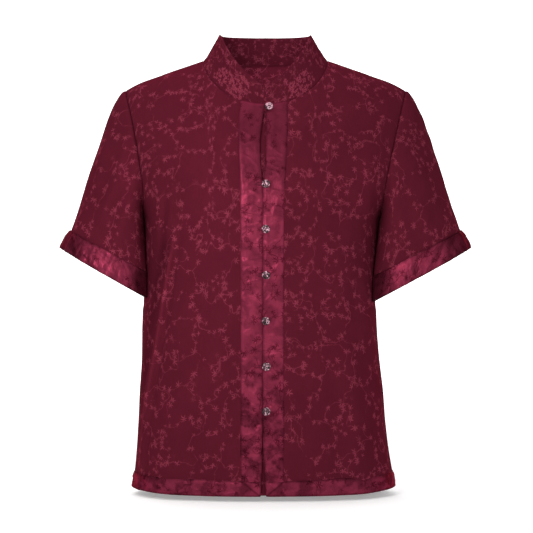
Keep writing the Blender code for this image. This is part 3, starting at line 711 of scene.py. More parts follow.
def satin(
    name, ground, figure, start, rough=(0.52, 0.40), sheen=0.04, gloss=0.12, weight=0.62, blooms=False, crushed=0.0
):
    """A jacquard satin. ground and figure are colours, start moves the pattern, gloss is how silky it is.
    blooms adds the crowded flowers by the neck, and crushed the crumpled bump of the shiny side with painted mottled
    sheen and painted shade along its crinkles."""
    finish = Finish(name)
    flat = finish.node("ShaderNodeUVMap", {"uv_map": "cloth"})
    place = flat + (start[0], start[1], 0.0)
    pattern = woven_figure(finish, place)
    uneven = finish.noise(place, 0.055, 3.0)
    slub = finish.noise(place * (1.0, 0.16, 1.0), 0.0016, 2.0)
    # Each piece carries painted shade at its points, which darkens its colour.
    shade = finish.painted("shade")
    tone = (0.80 + uneven * 0.26 + slub * 0.14) * shade
    colour = finish.mix(ground, figure, pattern * (weight + slub * 0.5))
    roughness = rough[0] + (rough[1] - rough[0]) * pattern + (uneven - 0.5) * 0.10
    height = pattern * 0.00008 + slub * 0.00006
    if blooms:
        amount = finish.painted("bloom")
        petals = sprigs(finish, place, PETAL_SPACING, 0.0042, 5, 1.1, shift=PETAL_SHIFT)
        petals = petals.most(sprigs(finish, place, 0.0050, 0.0030, 5, 1.3, shift=0.63) * 0.8)
        chosen = finish.step(finish.noise(place + 0.23, 0.009, 1.0) + amount, 0.86, 1.10)
        moved = place + (PETAL_SHIFT, PETAL_SHIFT, 0.0)
        hearts = finish.cells(moved, PETAL_SPACING, "F1", "Distance") * PETAL_SPACING
        petals = petals * chosen * (0.25 + 0.75 * finish.step(hearts, 0.0004, 0.0010))
        colour = finish.mix(colour, tuple(c * 1.2 for c in figure), petals)
        height = height + petals * 0.00016
    if crushed:
        unrest = finish.painted("unrest")
        lumps = finish.noise(bent(finish, place, 0.016, 0.016), 0.0100, 1.5)
        height = height + abs(lumps - 0.5) * (unrest * crushed)
        # Painted shade along the crinkles, and light and dark clouds of painted sheen, over the crumpled satin.
        crinkle_painted_shade = 1.0 - finish.step(abs(lumps - 0.5), 0.0, 0.045)
        painted_sheen_blotch = finish.noise(bent(finish, place + 0.9, 0.012, 0.014), 0.0190, 1.0)
        tone = tone * (1.0 + unrest * (finish.step(painted_sheen_blotch, 0.30, 0.70) * 0.75 - 0.33 - crinkle_painted_shade * 0.22))
    up = finish.node("ShaderNodeSeparateXYZ", None, {"Vector": place}, "Y")
    threads = (up * (FULL_TURN / THREAD_PITCH)).cosine()
    height = height + threads * 0.000010
    colour = finish.node("ShaderNodeVectorMath", {"operation": "MULTIPLY"}, {0: colour, 1: tone})
    bump = finish.bump(height)
    return finish.end(
        {
            "Base Color": colour,
            "Roughness": roughness,
            "Normal": bump,
            "Metallic": gloss,
            "Specular IOR Level": 0.0,
            "Specular Tint": EDGE_TINT,
            "Sheen Weight": sheen,
            "Sheen Roughness": 0.35,
            "Sheen Tint": FIGURE_TINT,
        }
    )


MATT = (0.088, 0.0090, 0.0190)
MATT_FIGURE = (0.222, 0.0310, 0.0570)
SHINY = (0.176, 0.0196, 0.0435)
SHINY_FIGURE = (0.078, 0.0066, 0.0160)

matt_right = satin("matt_satin_right", MATT, MATT_FIGURE, (0.0, 0.0), blooms=True)
matt_left = satin("matt_satin_left", MATT, MATT_FIGURE, (0.613, 0.177), blooms=True)
matt_back = satin("matt_satin_back", MATT, MATT_FIGURE, (1.31, 0.52))
matt_sleeve = satin("matt_satin_sleeve", MATT, MATT_FIGURE, (2.03, 0.81))
# The collar's colours are those of the matt satin, painted about a tenth darker as shade.
COLLAR = (0.080, 0.0083, 0.0174)
COLLAR_FIGURE = (0.202, 0.0285, 0.0525)
collar_satin = satin("collar_satin", COLLAR, COLLAR_FIGURE, (2.9, 1.43), blooms=True)
shiny_satin = satin("shiny_satin", SHINY, SHINY_FIGURE, (3.7, 0.35), (0.35, 0.44), 0.08, 0.40, 0.95, crushed=0.0010)
INSIDE = (0.100, 0.0098, 0.0215)
INSIDE_FIGURE = (0.255, 0.0340, 0.0650)
inside_satin = satin("inside_satin", INSIDE, INSIDE_FIGURE, (4.4, 0.15), (0.42, 0.48), 0.1, 0.2, 0.95)
print("Nodes in the shiny satin:", len(shiny_satin.node_tree.nodes))

# %% [markdown]
# ## Folds
# Real folds are never even. The larger ones are placed one by one, each as a soft ridge with a trough beside it,
# from one place on the shirt to another, seen from the front or from behind.
# A weak ripple under them keeps the cloth between from being quite flat.

# %% Soft ridges and troughs, placed one by one
Crease = namedtuple("Crease", "facing x z end_x end_z bow depth width")
SIDE_FOLD = (-0.128, -0.235, -0.180, -0.530)
CREASES = [
    Crease(FRONT, *SIDE_FOLD, 0.002, 0.0050, 0.0042),
    Crease(FRONT, -0.162, -0.430, -0.186, -0.636, -0.002, 0.0036, 0.0042),
    Crease(FRONT, -0.147, -0.190, -0.158, -0.330, 0.002, -0.0028, 0.0060),
    Crease(FRONT, -0.112, -0.300, -0.128, -0.560, 0.004, 0.0014, 0.0180),
    Crease(FRONT, -0.170, -0.300, -0.092, -0.190, 0.006, 0.0013, 0.0120),
    Crease(FRONT, -0.066, -0.420, -0.078, -0.632, -0.003, 0.0016, 0.0170),
    Crease(FRONT, 0.150, -0.300, 0.163, -0.520, -0.004, 0.0022, 0.0120),
    Crease(FRONT, 0.118, -0.390, 0.140, -0.636, 0.004, 0.0024, 0.0150),
    Crease(FRONT, 0.072, -0.460, 0.084, -0.638, 0.002, 0.0018, 0.0170),
    Crease(FRONT, 0.172, -0.252, 0.104, -0.176, -0.006, 0.0012, 0.0120),
    Crease(FRONT, -0.196, -0.080, -0.246, -0.238, 0.006, 0.0022, 0.0130),
    Crease(FRONT, -0.205, -0.170, -0.272, -0.262, 0.004, 0.0020, 0.0110),
    Crease(FRONT, -0.188, -0.200, -0.218, -0.315, -0.004, 0.0014, 0.0100),
    Crease(FRONT, 0.200, -0.085, 0.252, -0.236, -0.006, 0.0020, 0.0140),
    Crease(FRONT, 0.203, -0.180, 0.262, -0.285, -0.004, 0.0018, 0.0110),
    Crease(FRONT, 0.190, -0.210, 0.212, -0.322, 0.003, 0.0014, 0.0100),
    Crease(FRONT, -0.150, -0.060, -0.070, -0.140, 0.004, 0.0009, 0.0140),
    Crease(FRONT, 0.150, -0.062, 0.078, -0.150, -0.004, 0.0009, 0.0140),
    Crease(BACK, -0.150, -0.190, -0.050, -0.330, 0.010, 0.0040, 0.0130),
    Crease(BACK, 0.150, -0.200, 0.058, -0.360, -0.010, 0.0038, 0.0130),
    Crease(BACK, -0.090, -0.300, -0.110, -0.636, 0.006, 0.0052, 0.0150),
    Crease(BACK, 0.040, -0.280, 0.052, -0.638, -0.006, 0.0050, 0.0160),
    Crease(BACK, 0.120, -0.330, 0.142, -0.634, 0.004, 0.0046, 0.0130),
    Crease(BACK, -0.020, -0.380, -0.030, -0.638, 0.003, 0.0040, 0.0170),
    Crease(BACK, -0.205, -0.100, -0.250, -0.250, 0.006, 0.0024, 0.0150),
    Crease(BACK, 0.205, -0.100, 0.252, -0.256, -0.006, 0.0024, 0.0150),
]


def ripple(across, along, size, seed):
    """Smooth unevenness, about -1 to 1, from a few sine waves whose ways and starts follow the seed."""
    maker = np.random.default_rng(seed)
    total = 0.0
    for _ in range(9):
        way, start, stretch = maker.uniform(0, math.tau), maker.uniform(0, math.tau), maker.uniform(0.6, 1.7)
        total = total + np.sin((across * math.cos(way) + along * math.sin(way)) * math.tau * stretch / size + start)
    return total / 3.4


def crease_relief(points, normals):
    """How far the placed folds move the cloth out."""
    place = points[..., [0, 2]]
    total = np.zeros(points.shape[:2])
    for crease in CREASES:
        start = np.array([crease.x, crease.z])
        run = np.array([crease.end_x, crease.end_z]) - start
        length = np.hypot(*run)
        run = run / length
        square = np.array([-run[1], run[0]])
        along = (place - start) @ run / length
        inside = np.clip(along, 0.0, 1.0)
        beside = ((place - start) @ square - crease.bow * 4 * inside * (1 - inside)) / crease.width
        fade = smooth(along / 0.3) * smooth((1.12 - along) / 0.35)
        seen = np.clip(crease.facing * normals[..., 1] * 1.5, 0.0, 1.0)
        ridge = np.exp(-(beside**2)) - 0.6 * np.exp(-((np.abs(beside) - 1.75) ** 2) * 1.2)
        total += crease.depth * fade * seen * ridge
    return total


print("Folds placed by hand:", len(CREASES))

# %% [markdown]
# ## The fronts and the back
# Each panel is one sheet from the shoulder to the hem. Its folds fade out at the shoulder, armhole and side,
# where a seam holds it, so that neighbouring panels still meet there.
# The bands and the hem lie on the panels: they use the same points, moved out by the cloth under them.


# %% A panel with its folds
LARGE_RIPPLE, SMALL_RIPPLE = 0.0007, 0.00022
SEAM_LIFT, SEAM_EASE = 0.0011, 0.0032
FOLDS_START = 0.020
SLEEVE_BESIDE, SLEEVE_END = 0.150, -0.376


def without_y(normals):
    """Normals laid in the plane of a seam between front and back, so that both walls end there."""
    return unit(normals * np.array([1.0, 0.0, 1.0]))


def seam_distance(points, edges):
    """The length of cloth to the nearest of some edges."""
    down, along = run_lengths(points, 0), run_lengths(points, 1)
    lengths = {"top": down, "bottom": down[-1:] - down, "first": along, "last": along[:, -1:] - along}
    nearest = np.full(points.shape[:2], 1.0)
    for edge in edges:
        nearest = np.minimum(nearest, lengths[edge])
    return nearest


def body_relief(points, normals):
    """The placed folds with a large and a small ripple over them."""
    relief = crease_relief(points, normals)
    relief += LARGE_RIPPLE * ripple(points[..., 0], points[..., 2] * 0.7, 0.085, 5)
    relief += SMALL_RIPPLE * ripple(points[..., 0], points[..., 2], 0.026, 6)
    return relief


def clear_of_sleeves(points):
    """0 where the sleeve lies against the body, and 1 elsewhere."""
    beside = smooth((np.abs(points[..., 0]) - SLEEVE_BESIDE) / 0.014)
    return 1.0 - beside * smooth((points[..., 2] - SLEEVE_END) / 0.012)


def folded(points, held, seam_columns):
    """The panel with its folds, and its normals again. held names the edges that a seam holds flat."""
    normals = grid_normals(points)
    near = seam_distance(points, held)
    fade = smooth(near / FOLDS_START)
    relief = body_relief(points, normals) * fade * (0.25 + 0.75 * clear_of_sleeves(points))
    relief += SEAM_LIFT * smooth(near / SEAM_EASE) * clear_of_sleeves(points)
    points = points + normals * relief[..., None]
    normals = grid_normals(points)
    on_shoulder = np.abs(points[0, :, 0]) > NECK_HALF - SEAM_GAP
    normals[0, on_shoulder] = without_y(normals[0, on_shoulder])
    below = int(np.argmax(PANEL_SHARES >= UNDERARM_SHARE - 1e-9)) if len(points) == len(PANEL_SHARES) else 0
    for column in seam_columns:
        normals[below:, column] = without_y(normals[below:, column])
    return points, normals


def seam_shade(points, edges):
    """Painted shade right beside a seam, where the seam's shadow falls."""
    return 1.0 - 0.5 * np.exp(-((seam_distance(points, edges) / 0.0012) ** 2))


def fold_light_and_shade(points):
    """Painted light and shade along the sharp fold down the wearer's right side: a painted highlight on its crest and
    painted shade on the cloth behind it.
    """
    x, z, end_x, end_z = SIDE_FOLD
    along = (points[..., 2] - z) / (end_z - z)
    beside = points[..., 0] - x - (end_x - x) * along
    fade = smooth(along / 0.2) * smooth((1.15 - along) / 0.35)
    crest = 0.34 * np.exp(-((beside / 0.0018) ** 2)) + 0.05 * np.exp(-(((beside - 0.008) / 0.008) ** 2))
    behind = 0.30 * np.exp(-(((beside + 0.013) / 0.009) ** 2))
    return 1.0 + (crest - behind) * fade * (points[..., 1] < 0)


# Across, height and reach of each patch of crowded flowers
BLOOM_PATCHES = [(-0.040, -0.047, 0.019), (-0.061, -0.028, 0.015), (0.048, -0.046, 0.017), (0.057, -0.031, 0.015)]


def blooms_at(points):
    """1 where the small flowers crowd together beside the neck, seen from the front."""
    total = np.zeros(points.shape[:2])
    for x, z, reach in BLOOM_PATCHES:
        away = np.hypot(points[..., 0] - x, points[..., 2] - z) / reach
        total = np.maximum(total, 1.0 - smooth((away - 0.35) / 0.9))
    return total * (points[..., 1] < 0)


ARMHOLE_ROWS = 60
PANEL_SHARES = panel_shares(ARMHOLE_ROWS, 118, 8)
FRONT_PLACES = even_places(10, 18, 76)
BACK_PLACES = mirrored(even_places(18, 38))
NECK_COLUMN = 28
BACK_MIDDLE = len(BACK_PLACES) // 2


def front_cloth(side, shares, places):
    """The points and normals of a front, or of a part of it, with its folds."""
    points = panel_points(FRONT, partial(front_x, side), shares, places)
    return folded(points, ["top", "last"], [-1])


print("Rows and columns of a front:", len(PANEL_SHARES), len(FRONT_PLACES))



# %% The two fronts
fronts = {}
for side, finish in ((RIGHT, matt_right), (LEFT, matt_left)):
    name = SIDE_NAMES[side]
    points, normals = front_cloth(side, PANEL_SHARES, FRONT_PLACES)
    fronts[side] = (points, normals)
    flat = flat_of(points, False, side, (side * 0.05, 0.0))
    painted = {"bloom": blooms_at(points), "shade": seam_shade(points, ["last"]) * fold_light_and_shade(points)}
    finishes = [finish, inside_satin]
    cloth_wall(f"front_{name}", points, normals, flat, finishes, rounded=("first", "bottom"), painted=painted)

# %% The back
back_grid = panel_points(BACK, back_x, PANEL_SHARES, BACK_PLACES)
back_grid, back_normals = folded(back_grid, ["top", "first", "last"], [0, -1])
flat = flat_of(back_grid, False, -1, (0.3, 0.0), BACK_MIDDLE)
painted = {"shade": seam_shade(back_grid, ["first", "last"])}
finishes = [matt_back, inside_satin]
cloth_wall("back", back_grid, back_normals, flat, finishes, rounded=("bottom",), painted=painted)

# %% [markdown]
# ## The bands and the hem
# A band runs down each front edge and a deeper one round the hem, both of the shiny side of the cloth.
# They are stitched down along their edges, so between the stitching the thin satin puckers in small crossing
# ridges. The pucker only lifts the band away from the panel, never into it.


# %% Puckers of a stitched-down band
def puckers(flat, edge, strength, seed, stretch=0.6):
    """How far the satin lifts: sharp little ridges between its stitched edges."""
    across, along = flat[..., 0], flat[..., 1]
    large = 1 - np.abs(ripple(across * stretch, along, 0.027, seed))
    small = 1 - np.abs(ripple(across, along * 0.8, 0.0100, seed + 1))
    away_from_stitching = smooth(edge / 0.006)
    return away_from_stitching * strength * (0.85 * np.clip(large, 0, 1) ** 3 + 0.22 * np.clip(small, 0, 1) ** 3)


def lies_on(node, points, normals, flat, edges, strength, seed, looks, around=False, extra=0.0, rounded=()):
    """A band on a panel's own points, lifted by its puckers. looks gives the painted shade laid over it and how
    uneven it lies.
    """
    edge = seam_distance(points, edges)
    own_flat = flat[:, :-1] if around else flat
    lift = np.maximum(puckers(own_flat, edge, strength, seed) + extra, 0.0)
    lifted = points + normals * (SEAM_GAP + BAND_CLOTH + lift)[..., None]
    again = grid_normals(lifted, around)
    if np.sum(again * normals) < 0:
        again = -again
    # The inner face stays square to the panel, so the band never dips into it
    blend = unit(again * 0.25 + normals)
    # Painted shade along the stitched edges, where the band meets the cloth under it.
    away_from_stitching = 1.0 - 0.4 * np.exp(-((edge / 0.0014) ** 2))
    painted = {"shade": looks[0] * away_from_stitching, "unrest": looks[1]}
    form = dict(thickness=BAND_CLOTH, around=around, rounded=rounded, painted=painted, crisp=CRUSHED_CLOTH)
    cloth_wall(node, lifted, blend, flat, [shiny_satin, shiny_satin], **form)
    return lifted, again


ALL_EDGES = ["first", "last", "top", "bottom"]
print("Edges that stitches hold down on a hem band:", ALL_EDGES)


# %% The bands down the front
BAND_SHARES = np.linspace(0.0, HEM_SHARE - 0.0006, 430)
BAND_PLACES = np.linspace(0.0, 1.0, 27)
FASTENINGS = [
    (0.0051, -0.0760),
    (0.0006, -0.1892),
    (0.0006, -0.2540),
    (0.0012, -0.3202),
    (0.0006, -0.3865),
    (0.0012, -0.4524),
    (0.0012, -0.5172),
]


# From a button, where each ridge starts and ends, its height and its width; a trough is below 0
DRAGS = [
    (0.004, -0.005, 0.021, -0.018, 0.0013, 0.0026),
    (0.004, -0.013, 0.019, -0.031, -0.0011, 0.0032),
    (-0.005, -0.005, -0.019, -0.017, -0.0009, 0.0026),
    (-0.004, 0.004, -0.022, 0.011, 0.0010, 0.0024),
    (0.005, 0.004, 0.021, 0.013, 0.0008, 0.0024),
    (-0.004, -0.014, -0.016, -0.034, 0.0008, 0.0030),
    (0.000, 0.010, -0.012, 0.028, -0.0006, 0.0030),
]


def button_drags(points):
    """Short ridges and troughs that run from each button across the bands, strongest at the lowest one."""
    maker = np.random.default_rng(11)
    total = np.zeros(points.shape[:2])
    for number, (x, z) in enumerate(FASTENINGS[1:], start=1):
        power = (0.25, 0.3, 0.4, 0.55, 0.6, 1.25)[number - 1]
        for x0, z0, x1, z1, height, width in DRAGS:
            mirror = 1.0 if number == 6 else float(maker.choice([-1.0, 1.0]))
            start = np.array([x + mirror * x0, z + z0])
            run = np.array([mirror * (x1 - x0), z1 - z0 + maker.uniform(-0.003, 0.003)])
            length = np.hypot(*run)
            run = run / length
            away = points[..., [0, 2]] - start
            along, beside = away @ run, away @ np.array([-run[1], run[0]])
            fade = smooth(along / 0.004 + 0.5) * smooth((length - along) / 0.008)
            total += power * maker.uniform(0.7, 1.1) * height * fade * np.exp(-((beside / width) ** 2))
    return total


def below(points, height, over):
    """0 above a height and 1 once the points are so many metres under it."""
    return smooth((height - points[..., 2]) / over)


bands = {}
for side, name in SIDE_NAMES.items():
    points, normals = front_cloth(side, BAND_SHARES, BAND_PLACES)
    flat = flat_of(points, False, side, (side * 0.4, 0.0))
    under_neck, near_hem = below(points, -0.165, 0.05), below(points, -0.42, 0.10)
    taut, loose = 0.35 + 0.65 * under_neck, 1.0 + 0.4 * below(points, -0.46, 0.08)
    # Painted shade over the band: darker at its top, where it leans back in the opening, and again towards the hem.
    painted_shade = 0.70 + 0.34 * under_neck - 0.22 * near_hem
    unrest = 0.25 + 0.35 * under_neck + 0.45 * near_hem
    edge = smooth(seam_distance(points, ["first", "last"]) / 0.003)
    drags, strength, rounded = button_drags(points) * edge, 0.0013 * taut * loose, ("first", "last", "bottom")
    form = (points, normals, flat, ["first", "last", "top"], strength, 21 + side, (painted_shade, unrest))
    bands[side] = lies_on(f"placket_{name}", *form, extra=drags, rounded=rounded)


# %% The hem band, with a mitre where it meets the front bands
def from_mitre(points, side):
    """How far a point is from the slanting seam that runs from the band's outer edge to the front corner."""
    edge, outer = float(band_edge_at[side](HEM_HEIGHT)), float(band_outer_at[side](BAND_TOP))
    slope = HEM_BAND / abs(outer - edge)
    line = (points[..., 2] - HEM_HEIGHT) - slope * (points[..., 0] - edge) * side
    return line / math.hypot(1, slope)


HEM_SHARES = np.linspace(HEM_SHARE, 1.0, 17)
hems = {}
for side, name in SIDE_NAMES.items():
    points, normals = front_cloth(side, HEM_SHARES, even_places(22, 44, 80))
    flat = flat_of(points, False, side, (side * 0.9, 1.0))
    away = from_mitre(points, side)
    groove = np.exp(-((away / 0.0011) ** 2))
    # The groove along the mitre is cut in and also painted as shade, with a painted highlight on the cloth just
    # beside it, and the whole band is painted a little darker.
    looks = (0.80 - 0.42 * groove + 0.14 * smooth(away / 0.003) * smooth((0.010 - away) / 0.003), 0.8)
    lift = 0.0006 * (1.0 - groove) + 0.0005 * smooth(away / 0.004)
    lift = lift * smooth(seam_distance(points, ["last"]) / 0.01)
    form = (points, normals, flat, ALL_EDGES, 0.0012, 31 + side, looks)
    hems[side] = lies_on(f"hem_front_{name}", *form, extra=lift, rounded=("first", "top", "bottom"))

points = panel_points(BACK, back_x, HEM_SHARES, mirrored(even_places(60, 90)))
points, normals = folded(points, ["first", "last"], [0, -1])
flat = flat_of(points, False, -1, (1.6, 1.0))
# The back hem band is painted a little darker, as shade.
form = (points, normals, flat, ALL_EDGES, 0.0012, 41, (0.85, 0.8))
hem_back = lies_on("hem_back", *form, rounded=("top", "bottom"))

# %% [markdown]
# ## The sleeves and cuffs
# A set-in sleeve starts at the armhole and ends in a ring that slopes down towards the body.
# Each of its rings is a smooth blend from the armhole's own curve to that last ring.
# Under the arm it is kept a little clear of the side of the body. The cuff is a band on the sleeve's last part,
# gathered in soft ridges that run across it.

# %% The rings of a sleeve
SleeveRing = namedtuple("SleeveRing", "outer_x outer_height inner_height half_depth")
CUFF_TOP = {RIGHT: SleeveRing(0.2912, -0.2552, -0.3180, 0.049), LEFT: SleeveRing(0.2914, -0.2550, -0.3245, 0.049)}
CUFF_HEM = {RIGHT: SleeveRing(0.3050, -0.2806, -0.3565, 0.053), LEFT: SleeveRing(0.3052, -0.2806, -0.3625, 0.053)}
SLEEVE_CLEARANCE, CUFF_CLEARANCE = 0.0012, 0.0026


def body_side_x(side, y, height):
    """Where the body's outer face stands at a depth and height, below the underarm."""
    depth = np.where(y < 0, depth_at[FRONT](height), depth_at[BACK](height))
    inward = np.minimum(np.abs(y) / depth, 1.0)
    return shift_at(height) + side * half_width_at(height) * (1.0 - inward**2) ** (1 / SIDE_POWER)


def beside_body(points, side, clearance):
    """Sleeve points, kept just clear of the body below the underarm."""
    x, y, z = points[..., 0], points[..., 1], points[..., 2]
    below = np.clip((UNDERARM_HEIGHT - z) / clearance, 0.0, 1.0)
    nearest = body_side_x(side, y, z) + side * clearance * below
    push = np.where(below > 0, np.maximum(side * (nearest - x), 0.0), 0.0)
    return np.stack([x + side * push, y, z + push * 0.56], axis=-1)


def sleeve_ring(ring, side, turns):
    """Points of a ring; the turn is 0 at its outer end, and positive towards the front."""
    outer = np.array([side * ring.outer_x, 0.0, ring.outer_height])
    inner = np.array([0.0, -0.022, ring.inner_height])
    inner[0] = body_side_x(side, inner[1], inner[2]) - side * 0.007
    forward = np.stack([0 * turns, ring.half_depth * np.sin(turns), 0 * turns], axis=-1)
    return (outer + inner) / 2 + (outer - inner) / 2 * np.cos(turns)[..., None] - forward


def armhole_loop(side):
    """The armhole's points and normals, from the underarm up the front, over and down the back."""
    points, normals = fronts[side]
    column = 0 if side == RIGHT else -1
    line = points[ARMHOLE_ROWS::-1, -1].copy()
    out = normals[ARMHOLE_ROWS::-1, -1]
    line[0] = (line[0] + back_grid[ARMHOLE_ROWS, column]) / 2
    line[-1] = (line[-1] + back_grid[0, column]) / 2
    line = np.concatenate([line, back_grid[1:ARMHOLE_ROWS, column]])
    return line, np.concatenate([out, back_normals[1:ARMHOLE_ROWS, column]])


def loop_turns(line):
    """The turn round a sleeve of each armhole point, half of it in front and half behind."""
    lengths = run_lengths(np.concatenate([line, line[:1]])[None], 1)[0]
    front_length, whole = lengths[ARMHOLE_ROWS], lengths[-1]
    lengths = lengths[:-1]
    behind = -math.pi * (lengths - front_length) / (whole - front_length)
    return np.where(lengths <= front_length, math.pi * (1 - lengths / front_length), behind)


def edge_directions(line, normals, closed, at, outward):
    """The direction in the cloth, square to an edge, that leads off it."""
    if closed:
        along = np.roll(line, -1, axis=0) - np.roll(line, 1, axis=0)
    else:
        along = np.concatenate([line[1:], line[-1:]]) - np.concatenate([line[:1], line[:-1]])
    found = unit(np.cross(along, normals))
    return -found if found[at] @ np.array(outward) < 0 else found


print("Points round each armhole:", len(armhole_loop(RIGHT)[0]), len(armhole_loop(LEFT)[0]))



# %% The sleeve's form and its gathers
def gathers(side, turns, share):
    """Soft ridges across the cuff. They die away up the sleeve and on the side next to the body."""
    outer = smooth((1 + np.cos(turns)) / 0.9 - 0.15)
    ridges = 1 - np.abs(ripple(turns * 0.115, share * 0.018, 0.046, 51 + side))
    fine = ripple(turns * 0.115, share * 0.030, 0.019, 53 + side)
    return outer * (0.0020 * np.clip(ridges, 0, 1) ** 1.2 + 0.0005 * fine) * smooth(share)


def cuff_points(side, turns, shares):
    """The sleeve's last part, from the ring where the cuff starts to its lower edge."""
    upper, lower = sleeve_ring(CUFF_TOP[side], side, turns), sleeve_ring(CUFF_HEM[side], side, turns)
    share = shares[:, None, None]
    swell = 0.0015 * np.sin(math.pi * share) * ((1 + np.cos(turns)) / 2)[None, :, None]
    out = np.stack([side * np.cos(turns), -np.sin(turns), 0 * turns], axis=-1)[None]
    return beside_body(upper[None] * (1 - share) + lower[None] * share + out * swell, side, CUFF_CLEARANCE)


def sleeve_middle(side, points):
    """The nearest point to each on the sleeve's own middle line."""
    upper = np.array([side * 0.194, 0.0, -0.141])
    ends = sleeve_ring(CUFF_HEM[side], side, np.array([0.0, math.pi]))
    axis = unit(ends.mean(axis=0) - upper)
    return upper + ((points - upper) @ axis)[..., None] * axis


def sleeve_points(side, line, normals, turns, cap_rings, cuff_rings):
    """The sleeve's rings, from the armhole to the lower edge of the cuff."""
    leads = edge_directions(line, normals, True, ARMHOLE_ROWS, (side, 0, 0))
    starts = line + leads * EDGE_GAP
    top = np.cos(turns)
    out = 0.048 + 0.026 * top - 0.017 * np.maximum(-top, 0.0) ** 2
    leave = np.stack([side * out, -0.012 * np.sin(turns), -(0.011 + 0.025 * top)], axis=-1)
    ends = sleeve_ring(CUFF_TOP[side], side, turns)
    rings = []
    for k in range(cap_rings + 1):
        t = (k / cap_rings) ** 1.3
        ring = hermite(starts, leave, ends, (ends - starts) * 0.9, t)
        clearance = SLEEVE_CLEARANCE + (CUFF_CLEARANCE - SLEEVE_CLEARANCE) * t**3
        rings.append(beside_body(ring, side, clearance) if k else ring)
    return np.concatenate([np.array(rings), cuff_points(side, turns, np.arange(1, cuff_rings + 1) / cuff_rings)])


print("Highest gather on the left cuff, in metres:", gathers(LEFT, np.linspace(0, 1, 99), 1.0).max().round(4))



# %% The two sleeves
CAP_RINGS, SLEEVE_CUFF_RINGS = 58, 16
for side, name in SIDE_NAMES.items():
    line, line_normals = armhole_loop(side)
    turns = loop_turns(line)
    points = sleeve_points(side, line, line_normals, turns, CAP_RINGS, SLEEVE_CUFF_RINGS)
    normals = grid_normals(points, True, sleeve_middle(side, points))
    from_seam = run_lengths(points, 0)
    outer_half = smooth(0.75 + np.cos(turns))[None]
    relief = crease_relief(points, normals) + LARGE_RIPPLE * ripple(turns[None] * 0.06, from_seam, 0.05, 61 + side)
    relief = relief * smooth(from_seam / 0.03) * outer_half + 0.0014 * smooth(from_seam / 0.0034) * outer_half
    cuff_share = np.clip((np.arange(len(points)) - CAP_RINGS) / SLEEVE_CUFF_RINGS, 0, 1)
    above = smooth((np.arange(len(points)) - CAP_RINGS * 0.72) / (CAP_RINGS * 0.28))
    gathered = (0.35 * above + 0.65 * cuff_share)[:, None]
    relief = relief * (1 - 0.7 * above)[:, None] + gathers(side, turns[None], gathered)
    points = points + normals * relief[..., None]
    points[0] = points[0] - normals[0] * relief[0][..., None]
    normals = grid_normals(points, True, sleeve_middle(side, points))
    normals[0] = unit(line_normals + normals[0])
    flat = flat_of(points, True, side, (side * 0.8, 0.0))
    finishes, painted = [matt_sleeve, inside_satin], {"shade": seam_shade(points, ["top"])}
    cloth_wall(f"sleeve_{name}", points, normals, flat, finishes, around=True, painted=painted)

# %% The two cuffs
CUFF_SHARES = np.linspace(0.0, 1.0, 27)
cuffs = {}
for side, name in SIDE_NAMES.items():
    turns = np.linspace(math.pi, -math.pi, 260, endpoint=False)
    points = cuff_points(side, turns, CUFF_SHARES)
    normals = grid_normals(points, True, sleeve_middle(side, points))
    relief = gathers(side, turns[None], (0.35 + 0.65 * CUFF_SHARES)[:, None])
    relief = relief + 0.0012 * smooth(0.75 + np.cos(turns))[None]
    points = points + normals * relief[..., None]
    normals = grid_normals(points, True, sleeve_middle(side, points))
    flat = flat_of(points, True, side, (side * 1.3, 2.0))
    outer = smooth(0.6 + np.cos(turns))[None]
    # Painted shade: darker at the cuff's outer end, where it turns away, and on its part next to the body.
    at_end, at_body = smooth((np.cos(turns) - 0.35) / 0.35), smooth((-0.35 - np.cos(turns)) / 0.5)
    painted_shade = (1.04 - 0.56 * at_end - 0.66 * at_body)[None]
    form = (points, normals, flat, ["top", "bottom"], 0.0010 * outer, 71 + side, (painted_shade, 0.7))
    cuffs[side] = lies_on(f"cuff_{name}", *form, around=True, rounded=("top", "bottom"))

# %% [markdown]
# ## The collar and the strip behind the opening
# The stand collar is two layers of cloth, so it is thicker, and its upper edge is a soft fold.
# It rises from the neck seam to a table of points round the neck, a little hollow on the way.
# Behind the opening lies a plain strip that shows where the two bands part.

# %% The collar
COLLAR_TABLE = np.array(
    [
        (0, -0.0440, 0.0660),
        (18, -0.0285, 0.0668),
        (34, -0.0115, 0.0676),
        (50, 0.0075, 0.0686),
        (64, 0.0245, 0.0692),
        (77, 0.0362, 0.0692),
        (90, 0.0386, 0.0692),
        (115, 0.0392, 0.0672),
        (145, 0.0397, 0.0620),
        (180, 0.0400, 0.0582),
    ]
)
collar_height_at = curve_through(COLLAR_TABLE[:, 0], COLLAR_TABLE[:, 1])
collar_reach_at = curve_through(COLLAR_TABLE[:, 0], COLLAR_TABLE[:, 2])


def collar_seam():
    """The neck seam's points and normals, from the wearer's right front end round to the left one."""
    inner = slice(BACK_MIDDLE - 17, BACK_MIDDLE + 18)
    line, normals = (
        np.concatenate([fronts[RIGHT][k][0, : NECK_COLUMN + 1], part[0, inner], fronts[LEFT][k][0, NECK_COLUMN::-1]])
        for k, part in enumerate((back_grid, back_normals))
    )
    line = line.copy()
    for i in (NECK_COLUMN, len(line) - 1 - NECK_COLUMN):
        line[i, 1] = 0.0
    return line, normals


def collar_top(seam):
    """The collar's upper edge above each point of the neck seam."""
    turn = np.degrees(np.arcsin(np.clip(np.abs(seam[:, 0]) / NECK_HALF, 0.0, 1.0)))
    turn = np.where(seam[:, 1] > 0, 180 - turn, turn)
    angle = np.radians(turn)
    round_x = float(collar_reach_at(90)) * np.sin(angle)
    at_end = (1 - np.clip(np.abs(seam[:, 0]) / 0.0126, 0, 1)) * (turn < 90)
    x = np.sign(seam[:, 0]) * (round_x + (np.abs(seam[:, 0]) - round_x) * at_end)
    return np.stack([x, -collar_reach_at(turn) * np.cos(angle), collar_height_at(turn)], axis=-1)


